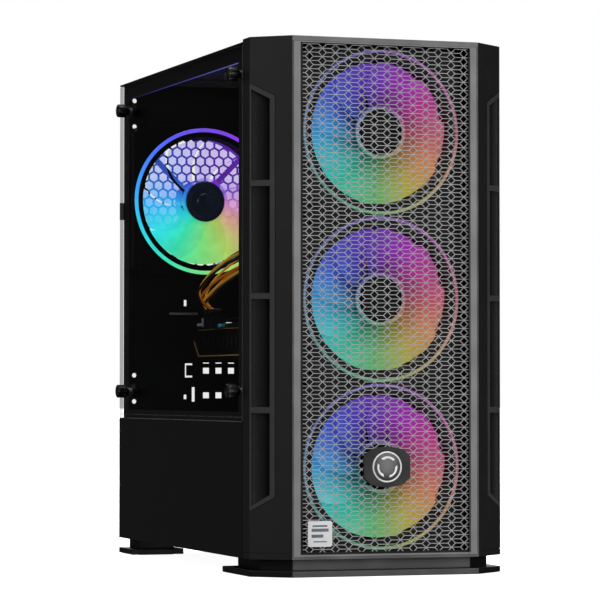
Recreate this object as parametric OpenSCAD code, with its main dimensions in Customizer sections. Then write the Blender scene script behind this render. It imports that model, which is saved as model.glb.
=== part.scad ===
// Desktop computer tower: steel chassis on two feet, chamfered front bezel with
// a mesh front, glass side, three front fans, a rear fan and a full set of
// internals. Millimetres, +Z up, the front faces -Y, the glass side is -X.
// The origin is on the floor below the middle of the whole object.

/* [Case] */
// Width over the two side panels
case_w = 192; // [190:1:200]
// Depth from the front face to the rear wall
case_d = 368; // [368:1:380]
// Height from the floor to the top of the bezel
case_h = 384; // [384:1:390]
// Thickness of the folded steel sheet
sheet = 1.2; // [1:0.1:1.4]
// Height of the steel strip below the glass, above the floor
glass_low = 110; // [106:1:112]
// Thickness of the glass side panel
glass_t = 3; // [2.5:0.5:3]

/* [Bezel] */
// Depth of the plastic front
bezel_depth = 36.5; // [36:0.5:38]
// Width of the slanted corner, seen from the front
chamfer_w = 25.25; // [24:0.25:27]
// Depth of the slanted corner, seen from the side
chamfer_d = 20.5; // [19:0.5:21]
// Wall thickness of the bezel
bezel_wall = 2.5; // [2:0.5:3]
// Width of the flat strips beside the mesh
strip_w = 5.4; // [4:0.1:7]
// How far the mesh lies behind the front face
mesh_recess = 3; // [2:0.5:4]

/* [Feet] */
// Thickness of the foot plates with their pads
foot_t = 5; // [4:0.5:6]
// Height of the raised part between foot and case
pedestal_h = 7.8; // [7.8:0.1:9]
// Depth of the front foot plate
front_foot_d = 85; // [70:1:100]

/* [Cooling] */
// Side of the square case fans, also their pitch
fan_size = 120; // [120:1:120]
// Thickness of the case fans
fan_t = 25; // [20:1:25]
// Radius of the case fan rotors
rotor_r = 51; // [48:0.5:51]
// Number of blades on a case fan rotor
blade_count = 9; // [5:1:11]

/* [Controls] */
// Travel of the power and reset buttons
button_travel = 1.5; // [1:0.1:2]
// Diameter of the side thumbscrews
thumb_d = 10.5; // [9:0.5:12]
// Length of a side thumbscrew's head
thumb_l = 9.4; // [7:0.2:10]

/* [Hidden] */
$fn = 64;

// Clearance between pieces that slide past each other, and under screw heads
gap = 0.3;
head_gap = 0.1;

// How far the screw heads stand out of the left side and of the rear wall
panel_screw_l = 6;
side_proud = thumb_l + head_gap;
rear_proud = gap + sheet + head_gap + panel_screw_l;

// Outer planes
side = case_w / 2;
front = -case_d / 2;
back = case_d / 2;
base_z = foot_t + pedestal_h;
top_z = case_h - 1.8;

// Bezel
flat_x = side - chamfer_w;
bezel_back = front + bezel_depth;
bezel_low = base_z + gap;
rim_low = bezel_low + 2.1;
rim_high = case_h - 3.7;
chamfer_a = atan2(chamfer_d, chamfer_w);
chamfer_l = norm([chamfer_w, chamfer_d]);
frame_x = flat_x - 0.9;
mesh_x = frame_x - strip_w;
mesh_low = rim_low + 1.2;
mesh_high = rim_high - 0.9;
mesh_y = front + mesh_recess;

// Vent windows in the slanted corners, as heights above the floor
window_bars = [118.5, 199.4, 279.6];
bar_h = 4.2;
window_u = 0.47 * chamfer_l;
insert_u = 0.59 * chamfer_l;

// Inner planes of the chassis
plate_y = bezel_back + gap;
inner_front = plate_y + sheet;
inner_back = back - sheet;
bush_h = 0.8;
flange_x = -side + glass_t + bush_h;
flange_in = flange_x + sheet;
right_x = side - sheet - 0.2;
shroud_z = 115;
glass_y = [inner_front + gap, inner_back - gap];
glass_z = [glass_low + 0.5, top_z - sheet - 0.6];

// Side screw places, as [y, z]
screw_places = [[front + 45, 360], [front + 45, 132], [157, 359], [157, 132]];

// Heights of the two rear screws that hold the right panel
panel_screw_zs = [350, 60];

// Fans
fan_y = plate_y - fan_t;
fan_zs = [78, 198, 318];
rear_fan = [-31, 287];
hub_r = 17;
bore_r = rotor_r + 1.5;

// Motherboard: the component face looks to -X
board_x = 74;
board_t = 1.6;
standoff_h = 6.5;
tray_x = board_x + board_t + standoff_h;
board_y = [-63, 181];
board_z = [120, 364];
hole_ys = [174.65, 17.2, -56.5];
hole_zs = [353.84, 198.9, 126.5];
slot_zs = [129, 149.3, 169.6, 190];
slot_x = [-30, board_x - 6];
cpu_y = 95;
cpu_z = 290;
ram_ys = [27, 37];
io_x = [board_x - 44.8, board_x];
io_z = [203, 362];

// Graphics card
gpu_z = 184.5;
gpu_y = [-50, 168];
gpu_x = [-37, 60];
gpu_fan_ys = [4, 112];
gpu_fan_x = 11.5;

// Power supply
psu_x = [-75, 75];
psu_y = [42, inner_back];
psu_z = [18, 104];
inlet_x = -45;
inlet_z = 61;
switch_x = -14;

// Front panel connectors on the top
io_y = [-137, -107];
button_x = [-46, -26];

// Route of the lead that feeds the graphics card
cable_r = 4.2;
cable_path = [
    [83, -72, 214], [66, -70, 222], [40, -58, 231], [14, -34, 239],
    [-6, -4, 243], [-20, 28, 241], [-32, 58, 234], [-42, 78, 224],
    [-48, 90, 215], [-50, 98, 208], [-48, 101, 202], [-44, 101.5, 198],
    [-42, 101, 195.5], [-42, 101, 193]
];
cable_sides = 8;

// ---------- helpers ----------

// The case is drawn about its own middle. This moves it so that the origin is
// below the middle of the whole object, with the screw heads that stand proud.
module in_place() {
    translate([side_proud / 2, -rear_proud / 2, 0]) children();
}

// A box between two values on each axis
module block(x, y, z) {
    translate([x[0], y[0], z[0]])
        cube([x[1] - x[0], y[1] - y[0], z[1] - z[0]]);
}

// A rectangle between two values on each axis
module rect(x, y) {
    translate([x[0], y[0]])
        square([x[1] - x[0], y[1] - y[0]]);
}

// Sheets drawn flat and stood in place: xz faces the front, yz the side
module sheet_xz(y, t) {
    translate([0, y + t, 0]) rotate([90, 0, 0]) linear_extrude(t) children();
}

module sheet_yz(x, t) {
    translate([x, 0, 0]) rotate([90, 0, 90]) linear_extrude(t) children();
}

module sheet_xy(z, t) {
    translate([0, 0, z]) linear_extrude(t) children();
}

// Round rods along each axis
module x_rod(x, y, z, r, n = 48) {
    translate([x[0], y, z]) rotate([0, 90, 0])
        cylinder(h = x[1] - x[0], r = r, $fn = n);
}

module y_rod(x, y, z, r, n = 48) {
    translate([x, y[1], z]) rotate([90, 0, 0])
        cylinder(h = y[1] - y[0], r = r, $fn = n);
}

module z_rod(x, y, z, r, n = 48) {
    translate([x, y, z[0]]) cylinder(h = z[1] - z[0], r = r, $fn = n);
}

module both_sides() {
    children();
    mirror([1, 0, 0]) children();
}

function flip_x(points) =
    [for (i = [len(points) - 1:-1:0]) [-points[i][0], points[i][1]]];

// Left half of the bezel's outline, moved inwards by d
function half_outline(d, y_end) = [
    [-side + d, y_end],
    [-side + d, front + chamfer_d + d * (1 - sin(chamfer_a)) / cos(chamfer_a)],
    [-flat_x + d * (1 - cos(chamfer_a)) / sin(chamfer_a), front + d]
];

module bezel_outline(d, y_end) {
    half = half_outline(d, y_end);
    polygon(concat(half, flip_x(half)));
}

// Stands children on the left slanted corner: x runs along the slant from its
// rear edge, y goes into the case
module on_chamfer() {
    translate([-side, front + chamfer_d, 0]) rotate([0, 0, -chamfer_a])
        children();
}

// Rows of slots for an air vent, in a flat drawing
module vent_slots(x, y, pitch, width) {
    rows = floor((y[1] - y[0] + pitch - width) / pitch);
    for (i = [0:rows - 1])
        rect(x, [y[0] + i * pitch, y[0] + i * pitch + width]);
}

// Hexagonal holes inside a circle, in a flat drawing
module hex_holes(radius, pitch, hole_r) {
    row_h = pitch * sqrt(3) / 2;
    n = ceil(radius / row_h);
    for (j = [-n:n])
        for (i = [-n - 1:n + 1])
            let (x = (i + (abs(j) % 2) / 2) * pitch, y = j * row_h)
                if (norm([x, y]) < radius - hole_r)
                    translate([x, y]) rotate(30) circle(r = hole_r, $fn = 6);
}

// ---------- fans ----------

// A rotor on the Z axis, from z = 0 to h, with its shaft beyond h
module rotor(r, hub, h, blades, pitch_a) {
    cylinder(h = h, r = hub);
    cylinder(h = h + 3, r = 1.5);
    intersection() {
        translate([0, 0, 0.5]) cylinder(h = h - 1, r = r);
        for (i = [0:blades - 1])
            rotate(i * 360 / blades)
                translate([hub - 1, 0, h / 2]) rotate([pitch_a, 0, 0])
                    translate([0, -0.42 * r / 2, -0.8])
                        cube([r, 0.42 * r, 1.6]);
    }
}

// Hub plate with four arms and the bearing bore, at height z
module fan_spider(reach, hub, z, t) {
    difference() {
        union() {
            translate([0, 0, z]) cylinder(h = t, r = hub);
            for (a = [45:90:315])
                rotate(a) translate([hub - 2, -2, z])
                    cube([reach - hub + 2, 4, t]);
        }
        translate([0, 0, z - 1]) cylinder(h = t + 2, r = 1.55);
    }
}

// Square case fan frame, air going from z = 0 to z = fan_t
module case_fan_frame() {
    half = fan_size / 2;
    hole_at = half - 7.5;
    difference() {
        block([-half, half], [-half, half], [0, fan_t]);
        translate([0, 0, -1]) cylinder(h = fan_t + 2, r = bore_r);
        for (x = [-hole_at, hole_at], y = [-hole_at, hole_at])
            translate([x, y, -1]) cylinder(h = fan_t + 2, r = 2.15);
        for (a = [0:90:270])
            rotate(a) translate([half, half, -1]) rotate(45)
                cube([8, 8, 2 * fan_t + 4], center = true);
    }
    fan_spider(bore_r + 0.3, hub_r + 1, fan_t - 3.5, 3);
}

// Places a case fan whose intake face is at y, blowing towards +Y
module place_fan(x, y, z) {
    translate([x, y, z]) rotate([-90, 0, 0]) children();
}

module case_rotor() {
    translate([0, 0, 1])
        rotor(rotor_r, hub_r, fan_t - 5, blade_count, 35);
}

module fan_frames() in_place() {
    color("#1b1b1d") {
        for (z = fan_zs)
            place_fan(0, fan_y, z) case_fan_frame();
        place_fan(rear_fan[0], inner_back - fan_t, rear_fan[1])
            case_fan_frame();
    }
}

module front_rotor(i) in_place() {
    color("#c8c8d8") place_fan(0, fan_y, fan_zs[i - 1]) case_rotor();
}

module rear_rotor() in_place() {
    color("#c8c8d8")
        place_fan(rear_fan[0], inner_back - fan_t, rear_fan[1]) case_rotor();
}

// ---------- chassis ----------

module base_pan() in_place() {
    color("#26272a") {
        sheet_xy(base_z, sheet) difference() {
            rect([-side + sheet, right_x], [plate_y, inner_back]);
            vent_slots([-52, 52], [62, 162], 10, 6);
            for (x = [-40, 40])
                translate([x, -57]) circle(r = 2);
        }
        both_sides() {
            block([51, 53], [30, inner_back], [6.2, base_z]);
            block([47, 51], [30, inner_back], [6.2, 7.2]);
        }
    }
}

module rear_openings() {
    rect(io_x, io_z);
    for (z = slot_zs)
        rect(slot_x, [z - 6.5, z + 6.5]);
    rect([psu_x[0] + 3, psu_x[1] - 3], [psu_z[0] + 3, psu_z[1] - 3]);
    translate(rear_fan) hex_holes(57, 8, 3.8);
    for (x = [-52.5, 52.5], z = [-52.5, 52.5])
        translate([rear_fan[0] + x, rear_fan[1] + z]) circle(r = 2.15);
    for (z = [370.1, 348.9, 145, 123.6])
        translate([-83.5, z]) circle(r = 1.9);
    rect([-40.3, -39], [143.3, 154.9]);
    for (z = [143.3, 153.4])
        rect([-40.3, -33.8], [z, z + 1.5]);
    rect([-34.4, -31.7], [123.4, 135.3]);
    rect([-41.3, -38.8], [202, 207]);
    rect([-41.3, -38.8], [125.5, 129.1]);
    for (z = panel_screw_zs)
        translate([side - 6, z]) circle(r = 2.3);
}

module rear_panel() in_place() {
    color("#26272a") sheet_xz(inner_back, sheet) difference() {
        union() {
            rect([-side + sheet, right_x], [base_z, glass_low]);
            rect([flange_x, right_x], [glass_low - 1, top_z]);
        }
        rear_openings();
    }
}

module top_frame() in_place() {
    color("#26272a") sheet_xy(top_z - sheet, sheet) difference() {
        rect([-side, right_x], [plate_y, inner_back]);
        vent_slots([-62, 62], [-88, 158], 10, 6);
        rect([-60, 60], [io_y[0] + 3, io_y[1] - 3]);
    }
}

module front_plate() in_place() {
    color("#26272a") sheet_xz(plate_y, sheet) difference() {
        rect([-side + sheet, right_x], [base_z + sheet, top_z - sheet]);
        for (z = fan_zs) {
            translate([0, z]) circle(r = bore_r);
            for (x = [-52.5, 52.5], dz = [-52.5, 52.5])
                translate([x, z + dz]) circle(r = 2.15);
        }
    }
}

// Flange that the glass rests on, with a raised bush round each screw hole
module side_frame() in_place() {
    color("#3a3b3f") difference() {
        union() {
            sheet_yz(flange_x, sheet) {
                difference() {
                    rect([inner_front, inner_back], [base_z + sheet, top_z - sheet]);
                    rect([inner_front + 20, inner_back - 14], [117, 370]);
                }
                for (p = screw_places)
                    translate(p) circle(r = 6);
                for (z = [359, 132])
                    rect([157, 170], [z - 5, z + 5]);
            }
            for (p = screw_places)
                x_rod([flange_x - bush_h, flange_x], p[0], p[1], 5);
        }
        for (p = screw_places)
            x_rod([flange_x - 3, flange_in + 1], p[0], p[1], 2.4);
    }
}

module motherboard_tray() in_place() {
    color("#2b2c30") sheet_yz(tray_x, sheet) difference() {
        rect([inner_front, inner_back], [base_z + sheet, top_z - sheet]);
        rect([cpu_y - 35, cpu_y + 35], [cpu_z - 35, cpu_z + 35]);
        for (z = [[150, 180], [205, 260], [290, 345]])
            rect([-86, -68], z);
        for (y = [-20, 60])
            rect([y, y + 50], [367, 376]);
        rect([-20, 40], [30, 90]);
    }
}

module psu_shroud() in_place() {
    color("#26272a") {
        sheet_xy(shroud_z - sheet, sheet) difference() {
            rect([flange_in, tray_x], [-118, inner_back]);
            vent_slots([-70, 20], [60, 150], 9, 4);
            rect([30, 74], [-90, -72]);
        }
        block([flange_in, flange_in + sheet], [-118, inner_back],
            [base_z + sheet, shroud_z - sheet]);
        block([flange_in + sheet, tray_x], [-118, -118 + sheet],
            [base_z + sheet, shroud_z - sheet]);
    }
}

module left_lower_panel() in_place() {
    color("#2e2f33")
        block([-side, -side + sheet], [inner_front - 0.4, back],
            [base_z, glass_low]);
}

module front_foot() in_place() {
    color("#202124") {
        sheet_xy(0.6, foot_t - 0.6)
            bezel_outline(0, front + front_foot_d);
        sheet_xy(foot_t, pedestal_h)
            bezel_outline(9, front + front_foot_d - 9);
    }
}

module rear_feet() in_place() {
    color("#202124") both_sides() {
        block([53, side], [back - 41, back], [0.6, foot_t]);
        block([60, side - 7], [back - 36, back - 7], [foot_t, base_z]);
    }
}

module foot_pads() in_place() {
    color("#111112") both_sides() {
        block([20, 60], [front + 12, front + 22], [0, 0.6]);
        block([56, 90], [front + 62, front + 72], [0, 0.6]);
        block([60, 88], [back - 34, back - 10], [0, 0.6]);
    }
}

module slot_covers() in_place() {
    color("#3a3b3f") for (z = [slot_zs[0], slot_zs[1]])
        sheet_xz(inner_back - 1, 1) difference() {
            rect([-31.2, board_x - 2], [z - 9.2, z + 9.2]);
            for (i = [0:7])
                translate([-22.4 + i * 10.8, z - 0.4])
                    square([5.4, 4.8], center = true);
            if (z > 140)
                for (i = [0:7])
                    translate([-22.4 + i * 10.8, z + 5.9])
                        square([5.4, 0.8], center = true);
            rect([board_x - 6, board_x], [z - 9.2, z - 2]);
        }
}

module chassis_screws() in_place() {
    color("#8b8d92") {
        for (y = hole_ys, z = hole_zs)
            x_rod([board_x - 2, board_x], y, z, 3, 24);
        for (z = slot_zs)
            y_rod(board_x + 5, [back, back + 1.6], z, 2.6, 24);
        for (x = [-69, 69], z = [psu_z[0] + 6, psu_z[1] - 6])
            y_rod(x * 1.13, [back, back + 1.6], z, 3, 24);
        for (x = [-52.5, 52.5], z = [-52.5, 52.5])
            y_rod(rear_fan[0] + x, [back, back + 1.6], rear_fan[1] + z, 3.4, 24);
    }
}

// ---------- motherboard and what is on it ----------

module motherboard() in_place() {
    color("#141a17") sheet_yz(board_x, board_t) difference() {
        rect(board_y, board_z);
        for (y = hole_ys, z = hole_zs)
            translate([y, z]) circle(r = 1.6, $fn = 24);
    }
}

module board_standoffs() in_place() {
    color("#b08d4a") for (y = hole_ys, z = hole_zs)
        x_rod([board_x + board_t, tray_x], y, z, 3, 6);
}

module board_sockets() in_place() {
    color("#1c1c20") {
        for (y = ram_ys)
            block([board_x - 8, board_x], [y - 3.5, y + 3.5], [229, 362]);
        for (z = [gpu_z + 0.8, slot_zs[0]])
            block([board_x - 11, board_x], [26, 115], [z - 3.7, z + 3.7]);
        block([board_x - 11, board_x], [70, 95],
            [slot_zs[1] - 3.7, slot_zs[1] + 3.7]);
        block([board_x - 13, board_x], [-61, -51], [238, 292]);
        block([board_x - 13, board_x], [100, 118], [353, 362]);
        for (i = [0:1])
            block([board_x - 9, board_x], [-62, -48], [140 + i * 18, 155 + i * 18]);
    }
    color("#9a9ca0")
        block([board_x - 6, board_x], [cpu_y - 20, cpu_y + 20],
            [cpu_z - 20, cpu_z + 20]);
}

// Finned blocks: fins stand on a base and run along z
module fin_block(x, y, z, count) {
    base = x[1] - 4;
    pitch = (y[1] - y[0]) / count;
    block([base, x[1]], y, z);
    for (i = [0:count - 1])
        block([x[0], base], [y[0] + i * pitch, y[0] + (i + 0.5) * pitch], z);
}

module board_heatsinks() in_place() {
    color("#34363b") {
        fin_block([50, board_x], [143, 156], [246, 334], 3);
        fin_block([50, board_x], [52, 96], [341, 352], 8);
        block([board_x - 8, board_x], [-38, 2], [134, 168]);
        block([board_x - 5, board_x], [-2, 80], [203, 225]);
    }
}

module ram_modules() in_place() {
    color("#2c2d31") for (y = ram_ys) {
        block([board_x - 40, board_x - 8], [y - 0.7, y + 0.7], [230, 361]);
        block([board_x - 42, board_x - 12], [y + 0.7, y + 3.2], [230, 361]);
        block([board_x - 42, board_x - 12], [y - 3.2, y - 0.7], [230, 361]);
    }
}

// A metal port shell with one or two mouths stacked away from the board
module port(z, x_out, mouth, depth, levels) {
    level_h = (board_x - 1 - x_out) / levels;
    difference() {
        block([x_out, board_x], [back + 0.4 - depth, back + 0.4], z);
        for (i = [0:levels - 1])
            let (mid = x_out + (i + 0.5) * level_h, zm = (z[0] + z[1]) / 2)
                block([mid - mouth[0] / 2, mid + mouth[0] / 2],
                    [back + 2 - depth, back + 1],
                    [zm - mouth[1] / 2, zm + mouth[1] / 2]);
    }
}

// Rear ports: heights, and how far each stands out from the board
usb_zs = [[332, 347], [295, 310]];
display_z = [313, 329];
small_z = [280, 292];
lan_z = [258, 275];
jack_zs = [214, 228, 242];
usb_out = board_x - 31;
display_out = board_x - 16;
lan_out = board_x - 14;

module io_ports() in_place() {
    color("#b9bbc0") {
        port(usb_zs[0], usb_out, [5.6, 12.8], 18, 2);
        port(usb_zs[1], usb_out, [5.6, 12.8], 18, 2);
        port(display_z, display_out, [5.2, 14.6], 18, 1);
        port(small_z, display_out, [3.6, 10], 18, 1);
        port(lan_z, lan_out, [10.4, 12.4], 22, 1);
    }
    color("#4a4b50") for (z = jack_zs)
        difference() {
            block([lan_out, board_x], [back + 0.4 - 16, back + 0.4], [z - 6, z + 6]);
            y_rod(board_x - 7, [back - 12, back + 1], z, 1.8);
        }
}

module io_shield() in_place() {
    color("#8b8d92") sheet_xz(inner_back, sheet) difference() {
        rect(io_x, io_z);
        for (z = usb_zs)
            rect([usb_out, board_x], z);
        for (z = [display_z, small_z])
            rect([display_out, board_x], z);
        rect([lan_out, board_x], lan_z);
        for (z = jack_zs)
            rect([lan_out, board_x], [z - 6, z + 6]);
    }
}

// ---------- processor cooler ----------

module place_cooler() {
    translate([0, cpu_y, cpu_z]) rotate([0, 90, 0]) children();
}

module cpu_heatsink() in_place() {
    color("#a9abb0") place_cooler() {
        translate([0, 0, 46]) cylinder(h = board_x - 6 - 46, r = 16);
        for (i = [0:23])
            rotate(i * 15) translate([14, -0.6, 46.8]) cube([30, 1.2, 15]);
    }
}

module cpu_fan_frame() in_place() {
    color("#1b1b1d") place_cooler() {
        difference() {
            translate([0, 0, 22]) cylinder(h = 24, r = 46);
            translate([0, 0, 21]) cylinder(h = 26, r = 43);
        }
        fan_spider(43.4, 15, 42.5, 3);
        for (a = [45:90:315])
            rotate(a) translate([44.5, -4, 40]) {
                cube([14, 8, 4]);
                translate([9, 0, 4]) cube([5, 8, board_x - 44]);
            }
    }
}

module cpu_rotor() in_place() {
    color("#2a2a2e") place_cooler() translate([0, 0, 23])
        rotor(41.5, 14, 18.5, 7, 38);
}

// ---------- graphics card ----------

module gpu_board() in_place() {
    color("#141a17")
        block([gpu_x[0] + 3, board_x - 11], gpu_y, [gpu_z, gpu_z + 1.6]);
    color("#2e2f33")
        block([gpu_x[0] + 2, gpu_x[1]], gpu_y, [gpu_z + 4, gpu_z + 5.2]);
    color("#2e2f33") for (x = [-28, 52], y = [-40, 60, 150])
        z_rod(x, y, [gpu_z + 1.6, gpu_z + 4], 3, 24);
    color("#1c1c20")
        block([gpu_x[0] - 9, gpu_x[0] + 3], [90, 112], [gpu_z - 2, gpu_z + 8.5]);
}

module gpu_bracket() in_place() {
    color("#b9bbc0") sheet_xz(inner_back - 1, 1) difference() {
        rect([-33, board_x - 2], [slot_zs[2] - 9.2, slot_zs[3] + 9.2]);
        for (i = [0:7])
            translate([-20 + i * 9, slot_zs[2]]) square([5, 9], center = true);
        for (x = [-8, 18, 44])
            rect([x - 8, x + 8], [gpu_z - 1.6, gpu_z + 6]);
    }
}

module gpu_heatsink() in_place() {
    color("#a9abb0") {
        block([gpu_x[0] + 4, gpu_x[1] - 4], [gpu_y[0] + 6, gpu_y[1] - 6],
            [gpu_z - 3, gpu_z]);
        for (i = [0:33])
            let (y = gpu_y[0] + 8 + i * 6)
                block([gpu_x[0] + 4, gpu_x[1] - 4], [y, y + 1], [gpu_z - 12, gpu_z - 3]);
    }
}

module gpu_shroud() in_place() {
    low = gpu_z - 27;
    color("#1a1a1c") difference() {
        block(gpu_x, gpu_y, [low, gpu_z]);
        block([gpu_x[0] + 2, gpu_x[1] - 2], [gpu_y[0] + 2, gpu_y[1] - 2],
            [low + 2, gpu_z + 1]);
        for (y = gpu_fan_ys)
            z_rod(gpu_fan_x, y, [low - 1, low + 3], 43.5, 64);
        block([gpu_x[0] - 1, gpu_x[0] + 3], [90, 112], [gpu_z - 2, gpu_z + 1]);
    }
    for (y = gpu_fan_ys)
        color("#1a1a1c") translate([gpu_fan_x, y, 0])
            fan_spider(44.5, 14, low, 1.8);
}

module gpu_rotor(i) in_place() {
    color("#2a2a2e")
        translate([gpu_fan_x, gpu_fan_ys[i - 1], gpu_z - 13]) mirror([0, 0, 1])
            rotor(42, 14, 11.4, 9, 32);
}

function unit(v) = v / norm(v);

// Ring of points round a path at point i
function path_ring(path, i, r, sides) =
    let (
        last = len(path) - 1,
        t = unit(path[min(i + 1, last)] - path[max(i - 1, 0)]),
        u = unit(cross(t, [1, 1, 0])),
        v = cross(u, t)
    ) [for (k = [0:sides - 1])
        path[i] + r * (cos(k * 360 / sides) * u + sin(k * 360 / sides) * v)];

module sweep(path, r, sides) {
    last = len(path) - 1;
    points = [for (i = [0:last]) each path_ring(path, i, r, sides)];
    walls = [for (i = [0:last - 1], k = [0:sides - 1])
        [i * sides + k, (i + 1) * sides + k,
            (i + 1) * sides + (k + 1) % sides, i * sides + (k + 1) % sides]];
    first_cap = [for (k = [0:sides - 1]) k];
    last_cap = [for (k = [sides - 1:-1:0]) last * sides + k];
    polyhedron(points, concat(walls, [first_cap], [last_cap]));
}

module gpu_cable() in_place() {
    color("#d8a02c") sweep(cable_path, cable_r, cable_sides);
}

// ---------- power supply ----------

module psu_case() in_place() {
    fan_at = [0, (psu_y[0] + psu_y[1]) / 2];
    color("#17181a") difference() {
        block(psu_x, psu_y, psu_z);
        block([psu_x[0] + 1, psu_x[1] - 1], [psu_y[0] + 1, psu_y[1] - 1],
            [psu_z[0] + 1, psu_z[1] - 1]);
        z_rod(fan_at[0], fan_at[1], [psu_z[0] - 1, psu_z[0] + 2], 56, 64);
        block([inlet_x - 14, inlet_x + 14], [psu_y[1] - 2, psu_y[1] + 1],
            [inlet_z - 11, inlet_z + 11]);
        block([switch_x - 6.5, switch_x + 6.5], [psu_y[1] - 2, psu_y[1] + 1],
            [inlet_z - 10.5, inlet_z + 10.5]);
        translate([0, psu_y[1] + 1, 0]) rotate([90, 0, 0]) linear_extrude(3)
            translate([32, inlet_z]) hex_holes(34, 9, 4.2);
    }
    color("#17181a") translate([fan_at[0], fan_at[1], 0])
        fan_spider(56.5, 16, psu_z[0], 1);
}

module psu_rotor() in_place() {
    color("#2a2a2e")
        translate([0, (psu_y[0] + psu_y[1]) / 2, psu_z[0] + 18]) mirror([0, 0, 1])
            rotor(54, 15, 16, 9, 35);
}

// Mains inlet: a rounded socket with three flat pins
module psu_inlet() in_place() {
    color("#1a1a1c") difference() {
        block([inlet_x - 13.8, inlet_x + 13.8], [psu_y[1] - 18, back + 0.6],
            [inlet_z - 10.8, inlet_z + 10.8]);
        block([inlet_x - 11.5, inlet_x + 11.5], [psu_y[1] - 15, back + 2],
            [inlet_z - 7.8, inlet_z + 7.8]);
    }
    color("#b9bbc0") for (p = [[-7, -1.5], [0, 2.6], [7, -1.5]])
        block([inlet_x + p[0] - 1, inlet_x + p[0] + 1],
            [psu_y[1] - 15, back - 4],
            [inlet_z + p[1] - 2, inlet_z + p[1] + 2]);
}

// Rocker that tips about a pin along X
module psu_switch() in_place() {
    color("#1a1a1c") {
        translate([switch_x - 5.5, back - 1, inlet_z])
            rotate([90, 0, 90]) linear_extrude(11)
                polygon([[-5, -4], [0.4, -9], [1.2, -9], [2.2, 0],
                    [3.8, 9], [0.4, 9], [-5, 4]]);
        x_rod([switch_x - 6.2, switch_x + 6.2], back - 1, inlet_z, 0.8);
    }
}

// ---------- drives ----------

module drive_cage() in_place() {
    walls_y = [-112, -2];
    color("#3a3b3f") {
        for (y = [walls_y[0], walls_y[1] - sheet])
            sheet_xz(y, sheet) difference() {
                rect([-78, 78], [base_z + sheet, 82]);
                for (x = [-50, 0, 50])
                    translate([x, 66]) circle(r = 6);
            }
        block([-78, 78], [walls_y[0] + sheet, walls_y[1] - sheet], [82 - sheet, 82]);
        for (y = [[walls_y[0] + sheet, walls_y[0] + 9],
                [walls_y[1] - 9, walls_y[1] - sheet]])
            block([-78, 78], y, [20.8, 22]);
    }
}

module hard_drive() in_place() {
    color("#9a9ca0") block([-73.5, 73.5], [-107.8, -6.2], [22, 46]);
    color("#141a17") block([-60, 60], [-100, -14], [46, 48]);
}

module ssd() in_place() {
    color("#2e2f33")
        block([tray_x + sheet, tray_x + sheet + 7], [-44, 56], [120, 190]);
}

// ---------- front bezel ----------

// Volume that the vent insert takes from the bezel's left wall
module vent_cut() {
    block([-side - 1, -side + bezel_wall + 0.1], [front + chamfer_d, bezel_back + 1],
        [46.9, 351.2]);
    on_chamfer() sheet_xz(-1, bezel_wall + 1.1)
        polygon([[0, 46.9], [insert_u, 57], [insert_u, 341.5], [0, 351.2]]);
}

module bezel_walls() {
    sheet_xy(bezel_low, case_h - bezel_low)
        bezel_outline(0, bezel_back);
}

module bezel_shell() in_place() {
    color("#2a2b2e") difference() {
        bezel_walls();
        sheet_xy(rim_low, rim_high - rim_low)
            bezel_outline(bezel_wall, bezel_back + 1);
        block([-frame_x, frame_x], [front - 1, front + 6], [rim_low, rim_high]);
        both_sides() vent_cut();
        both_sides() block([-side - 1, -flat_x], [front - 1, bezel_back + 1],
            [17.2, 17.8]);
    }
    color("#2a2b2e") both_sides() sheet_xy(17, 1)
        polygon(concat(half_outline(0.5, bezel_back),
            [for (i = [2:-1:0]) half_outline(bezel_wall, bezel_back)[i]]));
}

module mesh_frame() in_place() {
    color("#47484c") sheet_xz(front, mesh_recess) difference() {
        rect([-frame_x, frame_x], [rim_low, rim_high]);
        rect([-mesh_x, mesh_x], [mesh_low, mesh_high]);
    }
}

// Edges of window i at the rear edge of the slant and at the window's end
function window_low(i) = i == 0 ? [50.3, 58.7] :
    [window_bars[i - 1] + bar_h / 2, window_bars[i - 1] + bar_h / 2];
function window_high(i) = i == 3 ? [346.7, 339.5] :
    [window_bars[i] - bar_h / 2, window_bars[i] - bar_h / 2];

module vent_windows() {
    for (i = [0:3])
        let (low = window_low(i), high = window_high(i))
            polygon([[0.8, low[0]], [window_u, low[1]],
                [window_u, high[1]], [0.8, high[0]]]);
}

module vent_inserts() in_place() {
    color("#313236") both_sides() difference() {
        union() {
            intersection() {
                difference() {
                    bezel_walls();
                    sheet_xy(0, case_h)
                        bezel_outline(bezel_wall, bezel_back + 1);
                }
                vent_cut();
            }
            on_chamfer() sheet_xz(bezel_wall, 2.4)
                polygon([[3, 52], [window_u + 1.5, 60], [window_u + 1.5, 338],
                    [3, 345]]);
        }
        on_chamfer() sheet_xz(-1, bezel_wall + 2.6) vent_windows();
    }
}

// Coarse grille: the finished pattern is finer
module mesh_grille() in_place() {
    pitch_x = 2 * mesh_x / 13;
    pitch_z = 24;
    color("#9a9ba0") sheet_xz(mesh_y, 1) difference() {
        rect([-mesh_x - 2, mesh_x + 2], [mesh_low - 0.8, mesh_high + 0.6]);
        for (i = [-6:6], j = [0:13])
            let (z = 30 + j * pitch_z + (abs(i) % 2) * pitch_z / 2)
                translate([i * pitch_x - 3.6, z - 9]) square([7.2, 18]);
    }
}

module badge() in_place() {
    color("#3c3d41") translate([1, 0, 78]) sheet_xz(mesh_y - 2.2, 2.2)
        polygon([[-17.5, -8], [-13, -12.5], [0, -14.5], [13, -12.5], [17.5, -8],
            [17.5, 8], [13, 12.5], [0, 14.5], [-13, 12.5], [-17.5, 8]]);
}

// ---------- side panels ----------

module glass_panel() in_place() {
    color("#5a6068", 0.4) sheet_yz(-side, glass_t) difference() {
        rect(glass_y, glass_z);
        for (p = screw_places)
            translate(p) circle(r = 2.6);
    }
}

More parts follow.
